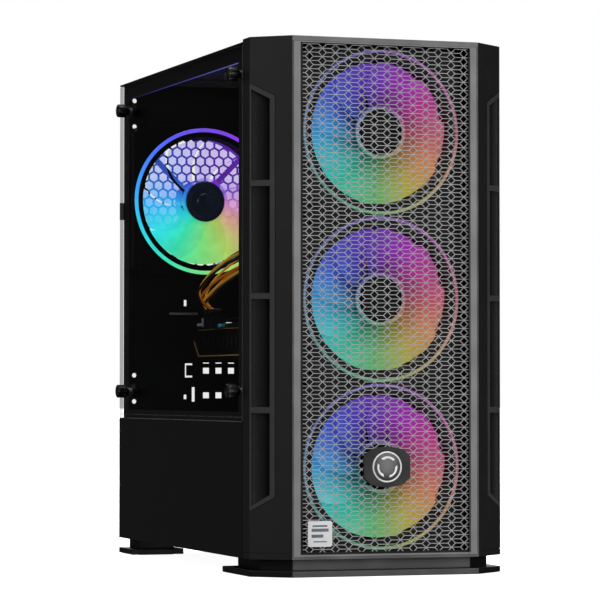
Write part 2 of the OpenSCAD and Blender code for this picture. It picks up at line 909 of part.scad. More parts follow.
// Screw i: knurled head outside the glass, shank through the bush
module thumbscrew(i) in_place() {
    p = screw_places[i - 1];
    head_x = -side - head_gap;
    color("#1c1c1e") {
        x_rod([head_x - thumb_l, head_x], p[0], p[1], thumb_d / 2);
        x_rod([head_x, flange_in + 3], p[0], p[1], 2);
    }
}

module right_side_panel() in_place() {
    color("#2e2f33") {
        block([side - sheet, side], [inner_front - 0.4, back + gap], [base_z, top_z]);
        difference() {
            block([side - 12, side], [back + gap, back + gap + sheet],
                [base_z, top_z]);
            for (z = panel_screw_zs)
                y_rod(side - 6, [back, back + 3], z, 2.4);
        }
    }
}

module panel_screw(i) in_place() {
    z = panel_screw_zs[i - 1];
    y = back + rear_proud - panel_screw_l;
    color("#1c1c1e") {
        y_rod(side - 6, [y, y + panel_screw_l], z, 4.5);
        y_rod(side - 6, [inner_back - 3, y], z, 2);
    }
}

// ---------- filters ----------

module top_filter() in_place() {
    color("#1c1c1e") sheet_xy(top_z + 0.2, 1.5) difference() {
        rect([-80, 80], [-100, 172]);
        vent_slots([-72, 72], [-92, 160], 12, 8);
    }
}

module psu_filter() in_place() {
    color("#1c1c1e") {
        sheet_xy(7.5, 2.4) difference() {
            rect([-50.6, 50.6], [34, back - 2]);
            vent_slots([-44, 44], [42, 160], 12, 8);
        }
        block([-20, 20], [back - 4, back - 2], [9.9, 12]);
    }
}

// ---------- top connectors ----------

usb_x = [6, 26];
audio_x = [42, 53];
io_mid_y = (io_y[0] + io_y[1]) / 2;

module io_panel() in_place() {
    color("#1c1c1e") difference() {
        union() {
            block([-64, 64], io_y, [top_z, case_h]);
            block([-59.8, 59.8], [io_y[0] + 3.2, io_y[1] - 3.2],
                [top_z - 18, top_z]);
        }
        z_rod(button_x[0], io_mid_y, [top_z - 12, case_h + 1], 8);
        z_rod(button_x[1], io_mid_y, [top_z - 12, case_h + 1], 4);
        for (x = usb_x)
            block([x - 6.6, x + 6.6], [io_mid_y - 2.9, io_mid_y + 2.9],
                [top_z - 16, case_h + 1]);
        for (x = audio_x)
            z_rod(x, io_mid_y, [top_z - 14, case_h + 1], 1.8);
    }
}

module button(i, r) in_place() {
    color("#8b8d92")
        z_rod(button_x[i], io_mid_y, [top_z - 9, case_h + 0.4], r);
}

module power_button() { button(0, 7.6); }
module reset_button() { button(1, 3.6); }

base_pan();
rear_panel();
top_frame();
front_plate();
side_frame();
motherboard_tray();
psu_shroud();
left_lower_panel();
front_foot();
rear_feet();
foot_pads();
slot_covers();
chassis_screws();
board_standoffs();
motherboard();
board_sockets();
board_heatsinks();
ram_modules();
io_ports();
io_shield();
cpu_heatsink();
cpu_fan_frame();
cpu_rotor();
gpu_board();
gpu_bracket();
gpu_heatsink();
gpu_shroud();
gpu_rotor(1);  // gpu_rotor_1
gpu_rotor(2);  // gpu_rotor_2
gpu_cable();
psu_case();
psu_inlet();
psu_switch();
psu_rotor();
drive_cage();
hard_drive();
ssd();
fan_frames();
front_rotor(1);  // front_rotor_1
front_rotor(2);  // front_rotor_2
front_rotor(3);  // front_rotor_3
rear_rotor();
bezel_shell();
mesh_frame();
vent_inserts();
mesh_grille();
badge();
glass_panel();
thumbscrew(1);  // thumbscrew_1
thumbscrew(2);  // thumbscrew_2
thumbscrew(3);  // thumbscrew_3
thumbscrew(4);  // thumbscrew_4
right_side_panel();
panel_screw(1);  // panel_screw_1
panel_screw(2);  // panel_screw_2
top_filter();
psu_filter();
io_panel();
power_button();
reset_button();
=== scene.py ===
from math import atan2, cos, hypot, pi, radians, sin

import bmesh
import bpy
from mathutils import Matrix, Vector


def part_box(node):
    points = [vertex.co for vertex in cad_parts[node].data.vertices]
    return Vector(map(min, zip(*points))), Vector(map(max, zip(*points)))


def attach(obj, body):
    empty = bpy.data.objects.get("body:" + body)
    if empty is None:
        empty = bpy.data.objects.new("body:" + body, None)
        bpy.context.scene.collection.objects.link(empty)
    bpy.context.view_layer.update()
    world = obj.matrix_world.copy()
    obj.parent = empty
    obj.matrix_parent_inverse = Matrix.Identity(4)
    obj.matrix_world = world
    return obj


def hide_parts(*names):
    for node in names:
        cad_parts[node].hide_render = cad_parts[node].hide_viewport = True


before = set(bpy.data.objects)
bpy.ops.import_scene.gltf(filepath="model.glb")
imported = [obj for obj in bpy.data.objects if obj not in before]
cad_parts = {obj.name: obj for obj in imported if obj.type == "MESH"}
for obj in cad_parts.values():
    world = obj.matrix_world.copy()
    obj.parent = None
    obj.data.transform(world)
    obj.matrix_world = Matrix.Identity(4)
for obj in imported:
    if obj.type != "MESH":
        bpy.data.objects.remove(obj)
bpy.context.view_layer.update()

MM = 0.001
SCENE = bpy.context.scene

# ---- Places, in millimetres ----
# x is from the middle of the case, depth from the front face and height from the floor.

bezel_lo, bezel_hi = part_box("bezel_shell")
CASE_X = (bezel_lo.x + bezel_hi.x) / 2
FRONT_Y = bezel_lo.y

FAN_R = 51.0  # blade tips of the case fans
HUB_R = 17.0
RING_R = 58.3  # middle of the light rings
BLADES = 9
MESH_DEPTH = 3.0  # front face of the mesh
BOARD_X = 74.0  # face of the main board
LIP_Z = 380.6  # where the bezel's front lip starts; above it the front faces get a painted highlight
LINE_Z = 368.8  # painted line of the fans' light under the top flange
SIDE_X = 96.0  # outer face of the case's sides
SLANT_DEPTH = 20.5  # how far the slanted corners run back and across
SLANT_WIDTH = 25.25
SLANT = atan2(SLANT_DEPTH, SLANT_WIDTH)


def at(x, depth, z):
    """A point in the object's frame, in metres."""
    return Vector((CASE_X + x * MM, FRONT_Y + depth * MM, z * MM))


def span(node):
    """A CAD node's corners as (x, depth, z) in millimetres."""
    lo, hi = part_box(node)
    return [((p.x - CASE_X) / MM, (p.y - FRONT_Y) / MM, p.z / MM) for p in (lo, hi)]


def middle(node):
    lo, hi = span(node)
    return [(a + b) / 2 for a, b in zip(lo, hi)]


# ---- Node helpers ----

FRONT_ON = -0.9  # Y of a normal that faces the front
SIDE_ON = 0.95  # size of X of a normal that faces a side


def rgba(value):
    """Adds the fourth number to a colour of three; anything else stays as it is."""
    return (*value, 1) if isinstance(value, tuple) and len(value) == 3 else value


class Shader:
    """A material with one Principled shader, and short calls to feed it."""

    def __init__(self, name, colour, roughness, **sockets):
        self.material = bpy.data.materials.new(name)
        self.material.use_nodes = True
        self.tree = self.material.node_tree
        self.principled = self.tree.nodes["Principled BSDF"]
        self.paint(colour)
        self.set("Roughness", roughness)
        for socket, value in sockets.items():
            self.set(socket.replace("_", " "), value)
        self.last_bump = None

    def feed(self, socket, value):
        if isinstance(value, bpy.types.NodeSocket):
            self.tree.links.new(value, socket)
        else:
            socket.default_value = value

    def set(self, name, value):
        self.feed(self.principled.inputs[name], rgba(value))

    def paint(self, value):
        self.set("Base Color", value)

    def node(self, kind, inputs=(), **settings):
        made = self.tree.nodes.new("ShaderNode" + kind)
        for name, value in settings.items():
            setattr(made, name, value)
        for key, value in dict(inputs).items():
            self.feed(made.inputs[key], value)
        return made

    def place(self):
        return self.node("TexCoord").outputs["Object"]

    def geometry(self, output, axis):
        """One axis of the surface's Position or True Normal."""
        return self.node("SeparateXYZ", {0: self.node("NewGeometry").outputs[output]}).outputs[axis]

    def faces_front(self):
        return self.math("LESS_THAN", self.geometry("True Normal", "Y"), FRONT_ON)

    def sideways(self):
        """How far the surface faces either side of the case, 0 to 1."""
        return self.math("ABSOLUTE", self.geometry("True Normal", "X"))

    def base_colour(self):
        """What feeds the colour so far."""
        return self.principled.inputs["Base Color"].links[0].from_socket

    def noise(self, scale, detail=3, stretch=(1, 1, 1)):
        moved = self.node("Mapping", {"Vector": self.place(), "Scale": stretch}).outputs[0]
        made = self.node("TexNoise", {"Vector": moved, "Scale": scale, "Detail": detail})
        return made.outputs["Fac"]

    def math(self, operation, a, b=0.0):
        return self.node("Math", {0: a, 1: b}, operation=operation).outputs[0]

    def between(self, value, low, high, from_low=0.3, from_high=0.7):
        made = self.node("MapRange", {"Value": value, "From Min": from_low, "From Max": from_high,
                                      "To Min": low, "To Max": high})
        return made.outputs["Result"]

    def ramp(self, value, stops):
        made = self.node("ValToRGB", {"Fac": value})
        elements = made.color_ramp.elements
        while len(elements) < len(stops):
            elements.new(0.5)
        for element, (position, colour) in zip(elements, stops):
            element.position = position
            element.color = rgba(colour)
        return made.outputs["Color"]

    def blend(self, share, one, two):
        mix = self.node("Mix", {0: share, 6: rgba(one), 7: rgba(two)}, data_type="RGBA")
        return mix.outputs[2]

    def bump(self, height, distance):
        inputs = {"Height": height, "Distance": distance}
        if self.last_bump is not None:
            inputs["Normal"] = self.last_bump
        self.last_bump = self.node("Bump", inputs).outputs["Normal"]
        self.set("Normal", self.last_bump)


def shade(value):
    """An sRGB grey or colour given as 0 to 255, in linear light."""
    parts = value if isinstance(value, tuple) else (value,) * 3
    return tuple((p / 255) ** 2.2 for p in parts)


def grained(name, colour, roughness, grain_mm, depth_mm, vary=0.18, wear=0.05, **sockets):
    """Moulded or coated surface: fine grain in the bump, slow change in colour and gloss."""
    s = Shader(name, shade(colour), roughness, **sockets)
    dark = tuple(c * (1 - vary) for c in shade(colour))
    light = tuple(c * (1 + vary) for c in shade(colour))
    s.paint(s.ramp(s.noise(14, 4), [(0.3, dark), (0.7, light)]))
    s.set("Roughness", s.between(s.noise(55, 3), roughness - wear, roughness + wear))
    s.bump(s.noise(1000 / grain_mm, 2), depth_mm * MM)
    return s


def brushed(name, colour, roughness, stretch, metallic=1.0):
    """Metal with fine lines along one axis."""
    s = Shader(name, shade(colour), roughness, Metallic=metallic)
    lines = s.noise(260, 3, stretch)
    dark = tuple(c * 0.82 for c in shade(colour))
    s.paint(s.ramp(s.noise(30, 3), [(0.3, dark), (0.7, shade(colour))]))
    s.set("Roughness", s.between(lines, roughness - 0.08, roughness + 0.1))
    s.bump(lines, 0.03 * MM)
    return s.material


def painted(name, colour, roughness=0.4, glow=0.0):
    """Plain painted or moulded surface; glow stands for the fans' light that it catches."""
    s = grained(name, colour, roughness, 0.8, 0.03, Emission_Strength=glow)
    s.set("Emission Color", shade(colour))
    return s.material


# ---- Materials ----

def powder_coat(name, colour, gloss):
    """Fine orange-peel paint on steel."""
    s = grained(name, colour, 0.46, 0.9, 0.035, vary=0.06, wear=0.012, Specular_IOR_Level=gloss)
    s.bump(s.noise(420, 2), 0.03 * MM)
    return s.material


def bezel_paint():
    """Dark moulded plastic, with a painted highlight that makes the front of the top lip a lighter
    grey.
    """
    s = grained("bezel_plastic", 26, 0.44, 0.7, 0.03)
    # Painted highlight: the front-facing faces above LIP_Z are a lighter grey.
    above = s.math("GREATER_THAN", s.geometry("Position", "Z"), LIP_Z * MM)
    lip = s.math("MULTIPLY", above, s.faces_front())
    s.paint(s.blend(lip, s.base_colour(), shade(88)))
    return s.material


def vent_paint():
    """The window rims, with painted shade that makes their faces on the flat sides of the case darker
    than those on the slant.
    """
    s = grained("vent_plastic", 58, 0.5, 0.6, 0.04)
    # Painted shade: faces that look to either side are a darker grey.
    shaded_side = s.math("GREATER_THAN", s.sideways(), SIDE_ON)
    s.paint(s.blend(shaded_side, s.base_colour(), shade(26)))
    return s.material


def screen_cloth():
    """Woven dust screen, with painted shade from the window rims: darker towards the front end of each
    window, lighter towards the flat sides.
    """
    s = grained("screen_cloth", 52, 0.75, 0.5, 0.05, Specular_IOR_Level=0.15)
    outwards = s.math("ABSOLUTE", s.math("SUBTRACT", s.geometry("Position", "X"), CASE_X))
    share = s.between(outwards, 0.0, 1.0, 84.5 * MM, 95 * MM)
    fibre = s.between(s.noise(900, 2), 0.8, 1.2)
    # Painted shade cast by the window rims: darkest at each window's front end, lightest towards the
    # flat sides.
    rim_shadow = s.ramp(share, [(0, shade(16)), (0.5, shade(44)), (1, shade(64))])
    woven = s.node("VectorMath", {0: rim_shadow, "Scale": fibre}, operation="SCALE")
    s.paint(woven.outputs[0])
    return s.material


def foot_paint():
    """The feet: black plastic, with a mottled painted highlight that makes the faces looking to the
    front grey.
    """
    s = grained("foot_plastic", 14, 0.5, 0.8, 0.05, Specular_IOR_Level=0.3)
    # Painted highlight: the front-facing faces are a mottled mid grey.
    front_highlight = s.ramp(s.noise(30, 4), [(0.3, shade(64)), (0.7, shade(76))])
    s.paint(s.blend(s.faces_front(), s.base_colour(), front_highlight))
    return s.material


def circuit_board():
    """Solder mask over copper tracks: thin parallel lines, raised a little."""
    s = Shader("circuit_board", shade((16, 22, 20)), 0.35)
    wave = s.node("TexWave", {"Vector": s.place(), "Scale": 90, "Distortion": 6, "Detail": 2,
                              "Detail Scale": 0.6})
    track = s.between(wave.outputs["Fac"], 0, 1, 0.55, 0.62)
    s.paint(s.ramp(track, [(0, shade((13, 18, 17))), (1, shade((26, 36, 33)))]))
    s.bump(track, 0.03 * MM)
    return s.material


def side_glass():
    """Clear safety glass: hardly there face on, more of a mirror at a low angle; its edges are painted
    pale and half opaque, painted light for the brightness seen through them.
    """
    s = Shader("side_glass", shade(16), 0.03)
    facing_away = s.node("LayerWeight", {"Blend": 0.5}).outputs["Facing"]
    sheen = s.math("MULTIPLY", s.math("POWER", facing_away, 5), 0.3)
    cover = s.math("ADD", sheen, s.between(s.noise(9, 3), 0.03, 0.045))
    # Painted light: the edges, which face neither side, are a pale grey.
    pale_edge = s.math("LESS_THAN", s.sideways(), SIDE_ON)
    s.paint(s.blend(pale_edge, shade(16), shade(150)))
    s.set("Alpha", s.math("MAXIMUM", cover, s.math("MULTIPLY", pale_edge, 0.6)))
    s.set("Roughness", s.between(s.noise(35, 4), 0.02, 0.05))
    return s.material


# Colours of the diodes round a front fan and round the rear fan, clockwise from the top.
HOURS = [(112, 54, 190), (168, 44, 190), (196, 56, 158), (206, 92, 118), (222, 146, 92),
         (192, 182, 62), (104, 192, 112), (52, 200, 164), (52, 198, 204), (58, 160, 218),
         (66, 104, 214), (80, 68, 200), (112, 54, 190)]
REAR_HOURS = [(104, 70, 214), (122, 54, 214), (116, 66, 204), (184, 120, 190), (196, 146, 128),
              (160, 190, 92), (112, 204, 118), (56, 208, 160), (48, 204, 214), (48, 166, 232),
              (62, 122, 236), (84, 88, 228), (104, 70, 214)]


def rainbow(s, centre, hours):
    """Colour of the light round a fan's centre, and distance, height and X from the centre."""
    position = s.node("NewGeometry").outputs["Position"]
    away = s.node("VectorMath", {0: position, 1: centre}, operation="SUBTRACT").outputs[0]
    parts = s.node("SeparateXYZ", {0: away}).outputs
    angle = s.math("ARCTAN2", parts["X"], parts["Z"])
    turn = s.math("FRACT", s.math("DIVIDE", angle, 2 * pi))
    colour = s.ramp(turn, [(i / (len(hours) - 1), shade(c)) for i, c in enumerate(hours)])
    flat = s.node("CombineXYZ", {"X": parts["X"], "Z": parts["Z"]}).outputs[0]
    radius = s.node("VectorMath", {0: flat}, operation="LENGTH").outputs["Value"]
    return colour, radius, parts["Z"], parts["X"]


def glowing(name, centre, hours, strength, alpha=(1.0, 1.0), dim=1.0, left=1.0):
    """Frosted clear plastic lit from behind.

    alpha is its value at the foot and at the top, dim the light at the hub, and left the
    light on the side of the glass.
    """
    s = Shader(name, shade(200), 0.3)
    colour, radius, height, across = rainbow(s, centre, hours)
    if alpha[0] == alpha[1]:
        s.set("Alpha", alpha[0])
    else:
        s.set("Alpha", s.between(height, alpha[0], alpha[1], -25 * MM, 20 * MM))
    glow = s.between(radius, dim, 1.0, HUB_R * MM, 0.75 * FAN_R * MM)
    share = s.math("MULTIPLY", glow, s.between(s.noise(120, 3), 0.85, 1.0))
    share = s.math("MULTIPLY", share, s.between(across, left, 1.0, -50 * MM, 0.0))
    s.paint(s.blend(0.6, colour, (0.02, 0.02, 0.02)))
    s.set("Emission Color", s.blend(share, (0.0, 0.0, 0.0), colour))
    s.set("Emission Strength", strength)
    s.bump(s.noise(700, 2), 0.02 * MM)
    return s.material


def woven_net():
    """Nylon thread, lighter and darker in fine random patches."""
    s = Shader("dust_net", shade(26), 0.65)
    s.paint(s.ramp(s.noise(700, 2), [(0.35, shade(13)), (0.7, shade(36))]))
    s.bump(s.noise(1500, 2), 0.05 * MM)
    return s.material


BEZEL = bezel_paint()
# The mesh frame's mid grey is a painted highlight on dark plastic, on top of the front lamp's real
# reflection.
STRIP = grained("frame_plastic", 106, 0.42, 0.5, 0.02, vary=0.05).material
VENT = vent_paint()
COAT = powder_coat("powder_coat", 9, 0.4)
INNER = powder_coat("inner_coat", 24, 0.2)
FOOT = foot_paint()
RUBBER = grained("rubber", 20, 0.85, 0.5, 0.08).material
MESH_PAINT = grained("mesh_paint", 168, 0.45, 0.4, 0.02, vary=0.05).material
FAN_BLACK = grained("fan_plastic", 8, 0.5, 0.8, 0.03, Specular_IOR_Level=0.15).material
PCB = circuit_board()
SOCKET = painted("socket_plastic", 30, 0.45)
STEEL = brushed("plated_steel", (176, 178, 184), 0.32, (1, 1, 0.1))
BRASS = brushed("brass", (190, 152, 84), 0.3, (0.1, 1, 1))
ALUMINIUM = brushed("fin_aluminium", (120, 122, 128), 0.34, (1, 0.1, 1))
DARK_METAL = brushed("anodised_black", (36, 37, 42), 0.42, (1, 0.1, 1), 0.6)
DRIVE = brushed("drive_case", (120, 122, 128), 0.36, (0.1, 1, 1))
GLASS = side_glass()
# The hub's glow is painted light: the fans' light falling on it.
HUB = painted("hub_plastic", (22, 30, 42), 0.25, glow=0.6)
NET = woven_net()
SCREW = painted("black_screw", 20, 0.34)
CLOTH = screen_cloth()
BUTTON = brushed("button_metal", (120, 122, 128), 0.35, (1, 0.1, 1))
PSU_PAINT = grained("psu_paint", 24, 0.6, 1.4, 0.12).material
GREY_STEEL = painted("grey_steel", 40, 0.45)
CHIP = painted("chip_resin", 18, 0.3)
ORANGE_LINE = painted("orange_line", (190, 150, 84))
# The yellow and orange wires' glow is painted light that brightens them inside the dark case.
WIRES = [painted("wire_yellow", (255, 190, 60), 0.38, glow=0.14),
         painted("wire_orange", (236, 132, 26), 0.38, glow=0.12), painted("wire_black", 16)]


# ---- Mesh helpers ----

def linked(name, data):
    obj = bpy.data.objects.new(name, data)
    SCENE.collection.objects.link(obj)
    return obj


def finished_mesh(name, bm):
    mesh = bpy.data.meshes.new(name)
    bm.to_mesh(mesh)
    bm.free()
    return mesh


def piece(name, bm, body, materials, replaces=(), smooth=30):
    """Turns bm into an object that rides on a body."""
    bmesh.ops.recalc_face_normals(bm, faces=bm.faces)
    mesh = finished_mesh(name, bm)
    for material in materials if isinstance(materials, (list, tuple)) else [materials]:
        mesh.materials.append(material)
    if smooth:
        mesh.shade_smooth()
        mesh.set_sharp_from_angle(angle=radians(smooth))
    obj = linked(name, mesh)
    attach(obj, body)
    if replaces:
        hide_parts(*replaces)
    return obj


def merge(bm, within):
    bmesh.ops.remove_doubles(bm, verts=bm.verts, dist=within)


def round_off(bm, verts, bevel, material=0):
    faces = {f for v in verts for f in v.link_faces}
    for f in faces:
        f.material_index = material
    if bevel:
        edges = list({e for v in verts for e in v.link_edges if e.calc_face_angle(0) > 0.4})
        made = bmesh.ops.bevel(bm, geom=edges, offset=bevel * MM, segments=2, profile=0.5,
                               affect="EDGES", clamp_overlap=True)
        for f in made["faces"]:
            f.material_index = material


def around(value, half):
    return value - half, value + half


def add_block(bm, x, depth, z, bevel=0.0, material=0):
    """A box between two values on each axis, in millimetres, with rounded edges."""
    lo = at(x[0], depth[0], z[0])
    hi = at(x[1], depth[1], z[1])
    place = Matrix.Translation((lo + hi) / 2) @ Matrix.Diagonal((*(hi - lo), 1))
    verts = bmesh.ops.create_cube(bm, size=1, matrix=place)["verts"]
    round_off(bm, verts, bevel, material)


def add_rings(bm, rings, material=0, caps=False):
    """Faces between closed rings of vertices; a ring of one vertex is a point."""
    for one, two in zip(rings, rings[1:]):
        count = max(len(one), len(two))
        for i in range(count):
            j = (i + 1) % count
            corners = [one[i % len(one)], one[j % len(one)], two[j % len(two)], two[i % len(two)]]
            distinct = list(dict.fromkeys(corners))
            if len(distinct) > 2:
                bm.faces.new(distinct).material_index = material
    if caps:
        bm.faces.new(rings[0][::-1]).material_index = material
        bm.faces.new(rings[-1]).material_index = material


def add_lathe(bm, place, profile, steps=48, material=0):
    """Turns (radius, height) points in millimetres round place's own Z axis."""
    rings = []
    for radius, height in profile:
        count = steps if radius > 1e-6 else 1
        turns = [2 * pi * i / count for i in range(count)]
        ring = [Vector((radius * cos(a), radius * sin(a), height)) * MM for a in turns]
        rings.append([bm.verts.new(place @ point) for point in ring])
    add_rings(bm, rings, material)


def add_prism(bm, place, outline, height, bevel=0.0, material=0):
    """Extrudes an outline of (x, y) millimetres along place's own Z axis."""
    low, high = [[bm.verts.new(place @ Vector((x * MM, y * MM, z * MM))) for x, y in outline]
                 for z in (0, height)]
    add_rings(bm, [low, high], material, caps=True)
    round_off(bm, low + high, bevel, material)


TURNS = {"-Y": (90, "X"), "+Y": (-90, "X"), "-X": (-90, "Y"), "+X": (90, "Y"), "-Z": (180, "X"),
         "+Z": (0, "X")}


def facing(point, direction):
    """A placement whose own Z axis points along a direction such as '-Y'."""
    degrees, axis = TURNS[direction]
    return Matrix.Translation(point) @ Matrix.Rotation(radians(degrees), 4, axis)


def arc(radius, steps, start, stop, centre=(0, 0)):
    """Points on an arc, in millimetres, both ends included."""
    turns = [radians(start + (stop - start) * i / (steps - 1)) for i in range(steps)]
    return [(centre[0] + radius * cos(a), centre[1] + radius * sin(a)) for a in turns]


def rounded_square(half, corner):
    outline = []
    for sx, sy, start in ((1, 1, 0), (-1, 1, 90), (-1, -1, 180), (1, -1, 270)):
        centre = (sx * (half - corner), sy * (half - corner))
        outline += arc(corner, 6, start, start + 90, centre)
    return outline


def smooth_path(points, per_span=6):
    """Catmull-Rom curve through the points."""
    ends = [points[0] * 2 - points[1], *points, points[-1] * 2 - points[-2]]
    path = []
    for a, b, c, d in zip(ends, ends[1:], ends[2:], ends[3:]):
        for i in range(per_span):
            t = i / per_span
            path.append(0.5 * (2 * b + (c - a) * t + (2 * a - 5 * b + 4 * c - d) * t * t
                               + (3 * b - a - 3 * c + d) * t ** 3))
    path.append(points[-1])
    return path


def path_frames(points):
    """Two directions across the path at each point, turning as little as possible."""
    across = Vector((0, 0, 1))
    frames = []
    for i in range(len(points)):
        ahead = (points[min(i + 1, len(points) - 1)] - points[max(i - 1, 0)]).normalized()
        across = (across - ahead * across.dot(ahead)).normalized()
        frames.append((across, ahead.cross(across)))
    return frames


def add_tube(bm, points, radius, sides, material=0):
    """A round wire along points in metres; radius in millimetres."""
    turns = [2 * pi * k / sides for k in range(sides)]
    rings = [[bm.verts.new(point + radius * MM * (u * cos(a) + v * sin(a))) for a in turns]
             for point, (u, v) in zip(points, path_frames(points))]
    add_rings(bm, rings, material, caps=True)


# ---- Camera, lights and floor ----

LENS = 182.67
CAMERA_PLACE = (-757.9, -2035.8, 132.1)
CAMERA_TILT = 91.713
CAMERA_TURN = -18.793

# Each soft lamp's place and size in metres, and its power.
LAMPS = {"key": ((1.0, -2.85, 0.45), (1.5, 2.0), 62),
         "front_left": ((-2.9, -1.0, 0.9), (0.9, 1.6), 8),
         "right": ((2.2, 2.2, 1.2), (1.2, 1.6), 12),
         "back": ((1.0, 3.0, 1.2), (1.4, 1.4), 22)}
LAMP_AIM = Vector((0, 0, 0.2))
OVERHEAD = 4.5
SURROUND_GLOW = 0.05


def make_camera():
    data = bpy.data.cameras.new("camera")
    data.sensor_width = 36
    data.lens = LENS
    data.clip_end = 50
    camera = linked("camera", data)
    camera.location = at(*CAMERA_PLACE)
    camera.rotation_euler = (radians(CAMERA_TILT), 0, radians(CAMERA_TURN))
    SCENE.camera = camera


def softbox(name, place, size, power):
    """A rectangular lamp aimed at the middle of the object."""
    data = bpy.data.lights.new(name, "AREA")
    data.shape = "RECTANGLE"
    data.size, data.size_y = size
    data.energy = power
    lamp = linked(name, data)
    lamp.location = place
    lamp.rotation_euler = (LAMP_AIM - Vector(place)).to_track_quat("-Z", "Y").to_euler()


def make_lights():
    for name, (place, size, power) in LAMPS.items():
        softbox(name, place, size, power)
    data = bpy.data.lights.new("overhead", "SUN")
    data.energy = OVERHEAD
    data.angle = radians(60)
    linked("overhead", data)


def make_floor():
    """A pale floor that throws no light back at the object."""
    bm = bmesh.new()
    bmesh.ops.create_grid(bm, x_segments=1, y_segments=1, size=20)
    mesh = finished_mesh("floor", bm)
    s = Shader("floor_paint", shade(250), 1.0, Specular_IOR_Level=0.0, Emission_Strength=1.0)
    pale = s.ramp(s.noise(3, 2), [(0.3, shade(249)), (0.7, shade(252))])
    s.paint(pale)
    s.set("Emission Color", pale)
    mesh.materials.append(s.material)
    floor = linked("floor", mesh)
    floor.visible_diffuse = False
    floor.visible_glossy = False


def make_surround():
    """White behind the object, with little light of its own."""
    world = bpy.data.worlds.new("studio")
    world.use_nodes = True
    tree = world.node_tree
    seen = tree.nodes.new("ShaderNodeLightPath").outputs["Is Camera Ray"]
    level = tree.nodes.new("ShaderNodeMapRange")
    tree.links.new(seen, level.inputs["Value"])
    level.inputs["To Min"].default_value = SURROUND_GLOW
    level.inputs["To Max"].default_value = 1.0
    background = tree.nodes["Background"]
    background.inputs["Color"].default_value = (1, 1, 1, 1)
    tree.links.new(level.outputs["Result"], background.inputs["Strength"])
    SCENE.world = world
    SCENE.view_settings.view_transform = "Standard"


# ---- CAD nodes that keep their shape ----

CARRIED_OVER = {
    COAT: "base_pan rear_panel top_frame left_lower_panel right_side_panel",
    INNER: "front_plate side_frame motherboard_tray psu_shroud slot_covers gpu_bracket",
    FOOT: "front_foot rear_feet",
    RUBBER: "foot_pads",
    STEEL: "chassis_screws io_ports io_shield",
    BRASS: "board_standoffs",
    PCB: "motherboard",
    SOCKET: "board_sockets psu_inlet psu_switch io_panel",
    DARK_METAL: "board_heatsinks ram_modules gpu_board ssd",
    ALUMINIUM: "cpu_heatsink gpu_heatsink",
    FAN_BLACK: "cpu_fan_frame gpu_shroud fan_frames",
    PSU_PAINT: "psu_case",
    GREY_STEEL: "drive_cage",
    DRIVE: "hard_drive",
    BEZEL: "bezel_shell",
    STRIP: "mesh_frame",
    VENT: "vent_inserts",
    GLASS: "glass_panel",
    BUTTON: "power_button reset_button",
}

# Widths of the softened edges.
SOFT_EDGES = {
    0.25: "board_heatsinks",
    0.3: "mesh_frame vent_inserts left_lower_panel right_side_panel ram_modules board_sockets",
    0.4: "io_panel psu_switch",
    0.5: "bezel_shell front_foot rear_feet psu_case glass_panel",
    0.6: "gpu_shroud",
    0.8: "hard_drive ssd",
}


def dress_nodes():
    for material, names in CARRIED_OVER.items():
        for name in names.split():
            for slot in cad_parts[name].material_slots:
                slot.material = material


def soften(name, width):
    """Small rounded edges, laid on a CAD shape as modifiers."""
    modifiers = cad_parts[name].modifiers
    modifiers.new("weld", "WELD").merge_threshold = 0.00001
    flat = modifiers.new("flat", "DECIMATE")
    flat.decimate_type = "DISSOLVE"
    flat.angle_limit = radians(1)
    edge = modifiers.new("edge", "BEVEL")
    edge.width = width * MM
    edge.segments = 2
    edge.limit_method = "ANGLE"
    edge.angle_limit = radians(35)


def soften_edges():
    for width, names in SOFT_EDGES.items():
        for name in names.split():
            soften(name, width)


# ---- Front mesh: columns of diamonds with slanted cells between them ----

PITCH_X = 9.82
PITCH_Z = 5.93
DIAMOND = 3.0
BAR = 0.46
MESH_THICK = 0.5
FIRST_COLUMN = (1.9, 2.24)
MESH_BORDER = (4.5, 1.6, 2.4, 1.0)  # left, right, foot and top


def inset(polygon, by):
    """A convex outline moved inwards by a distance."""
    inside = Vector((sum(p.x for p in polygon), sum(p.y for p in polygon))) / len(polygon)
    lines = []
    for a, b in zip(polygon, polygon[1:] + polygon[:1]):
        normal = Vector((b.y - a.y, a.x - b.x)).normalized()
        if normal.dot(inside - a) < 0:
            normal = -normal
        lines.append((a + normal * by, b - a))
    corners = []
    for (p, d), (q, e) in zip([lines[-1]] + lines[:-1], lines):
        t = (q - p).cross(e) / d.cross(e)
        corners.append(p + d * t)
    return corners


def mesh_cells(columns, rows):
    """The outlines of the holes' cells: diamonds and the two slanted shapes beside them."""
    for i in columns:
        x = FIRST_COLUMN[0] + i * PITCH_X
        ahead = x + PITCH_X
        for k in rows:
            z = FIRST_COLUMN[1] + (k + 0.5 * (i % 2)) * PITCH_Z
            half = PITCH_Z / 2
            yield [(x, z + half), (x + DIAMOND, z), (x, z - half), (x - DIAMOND, z)]
            yield [(x, z + half), (ahead - DIAMOND, z + half), (ahead, z), (x + DIAMOND, z)]
            yield [(x + DIAMOND, z), (ahead, z), (ahead - DIAMOND, z - half), (x, z - half)]


def cut(bm, point, direction):
    """Removes what lies beyond a plane."""
    bmesh.ops.bisect_plane(bm, geom=bm.verts[:] + bm.edges[:] + bm.faces[:], plane_co=point,
                           plane_no=direction, clear_outer=True)


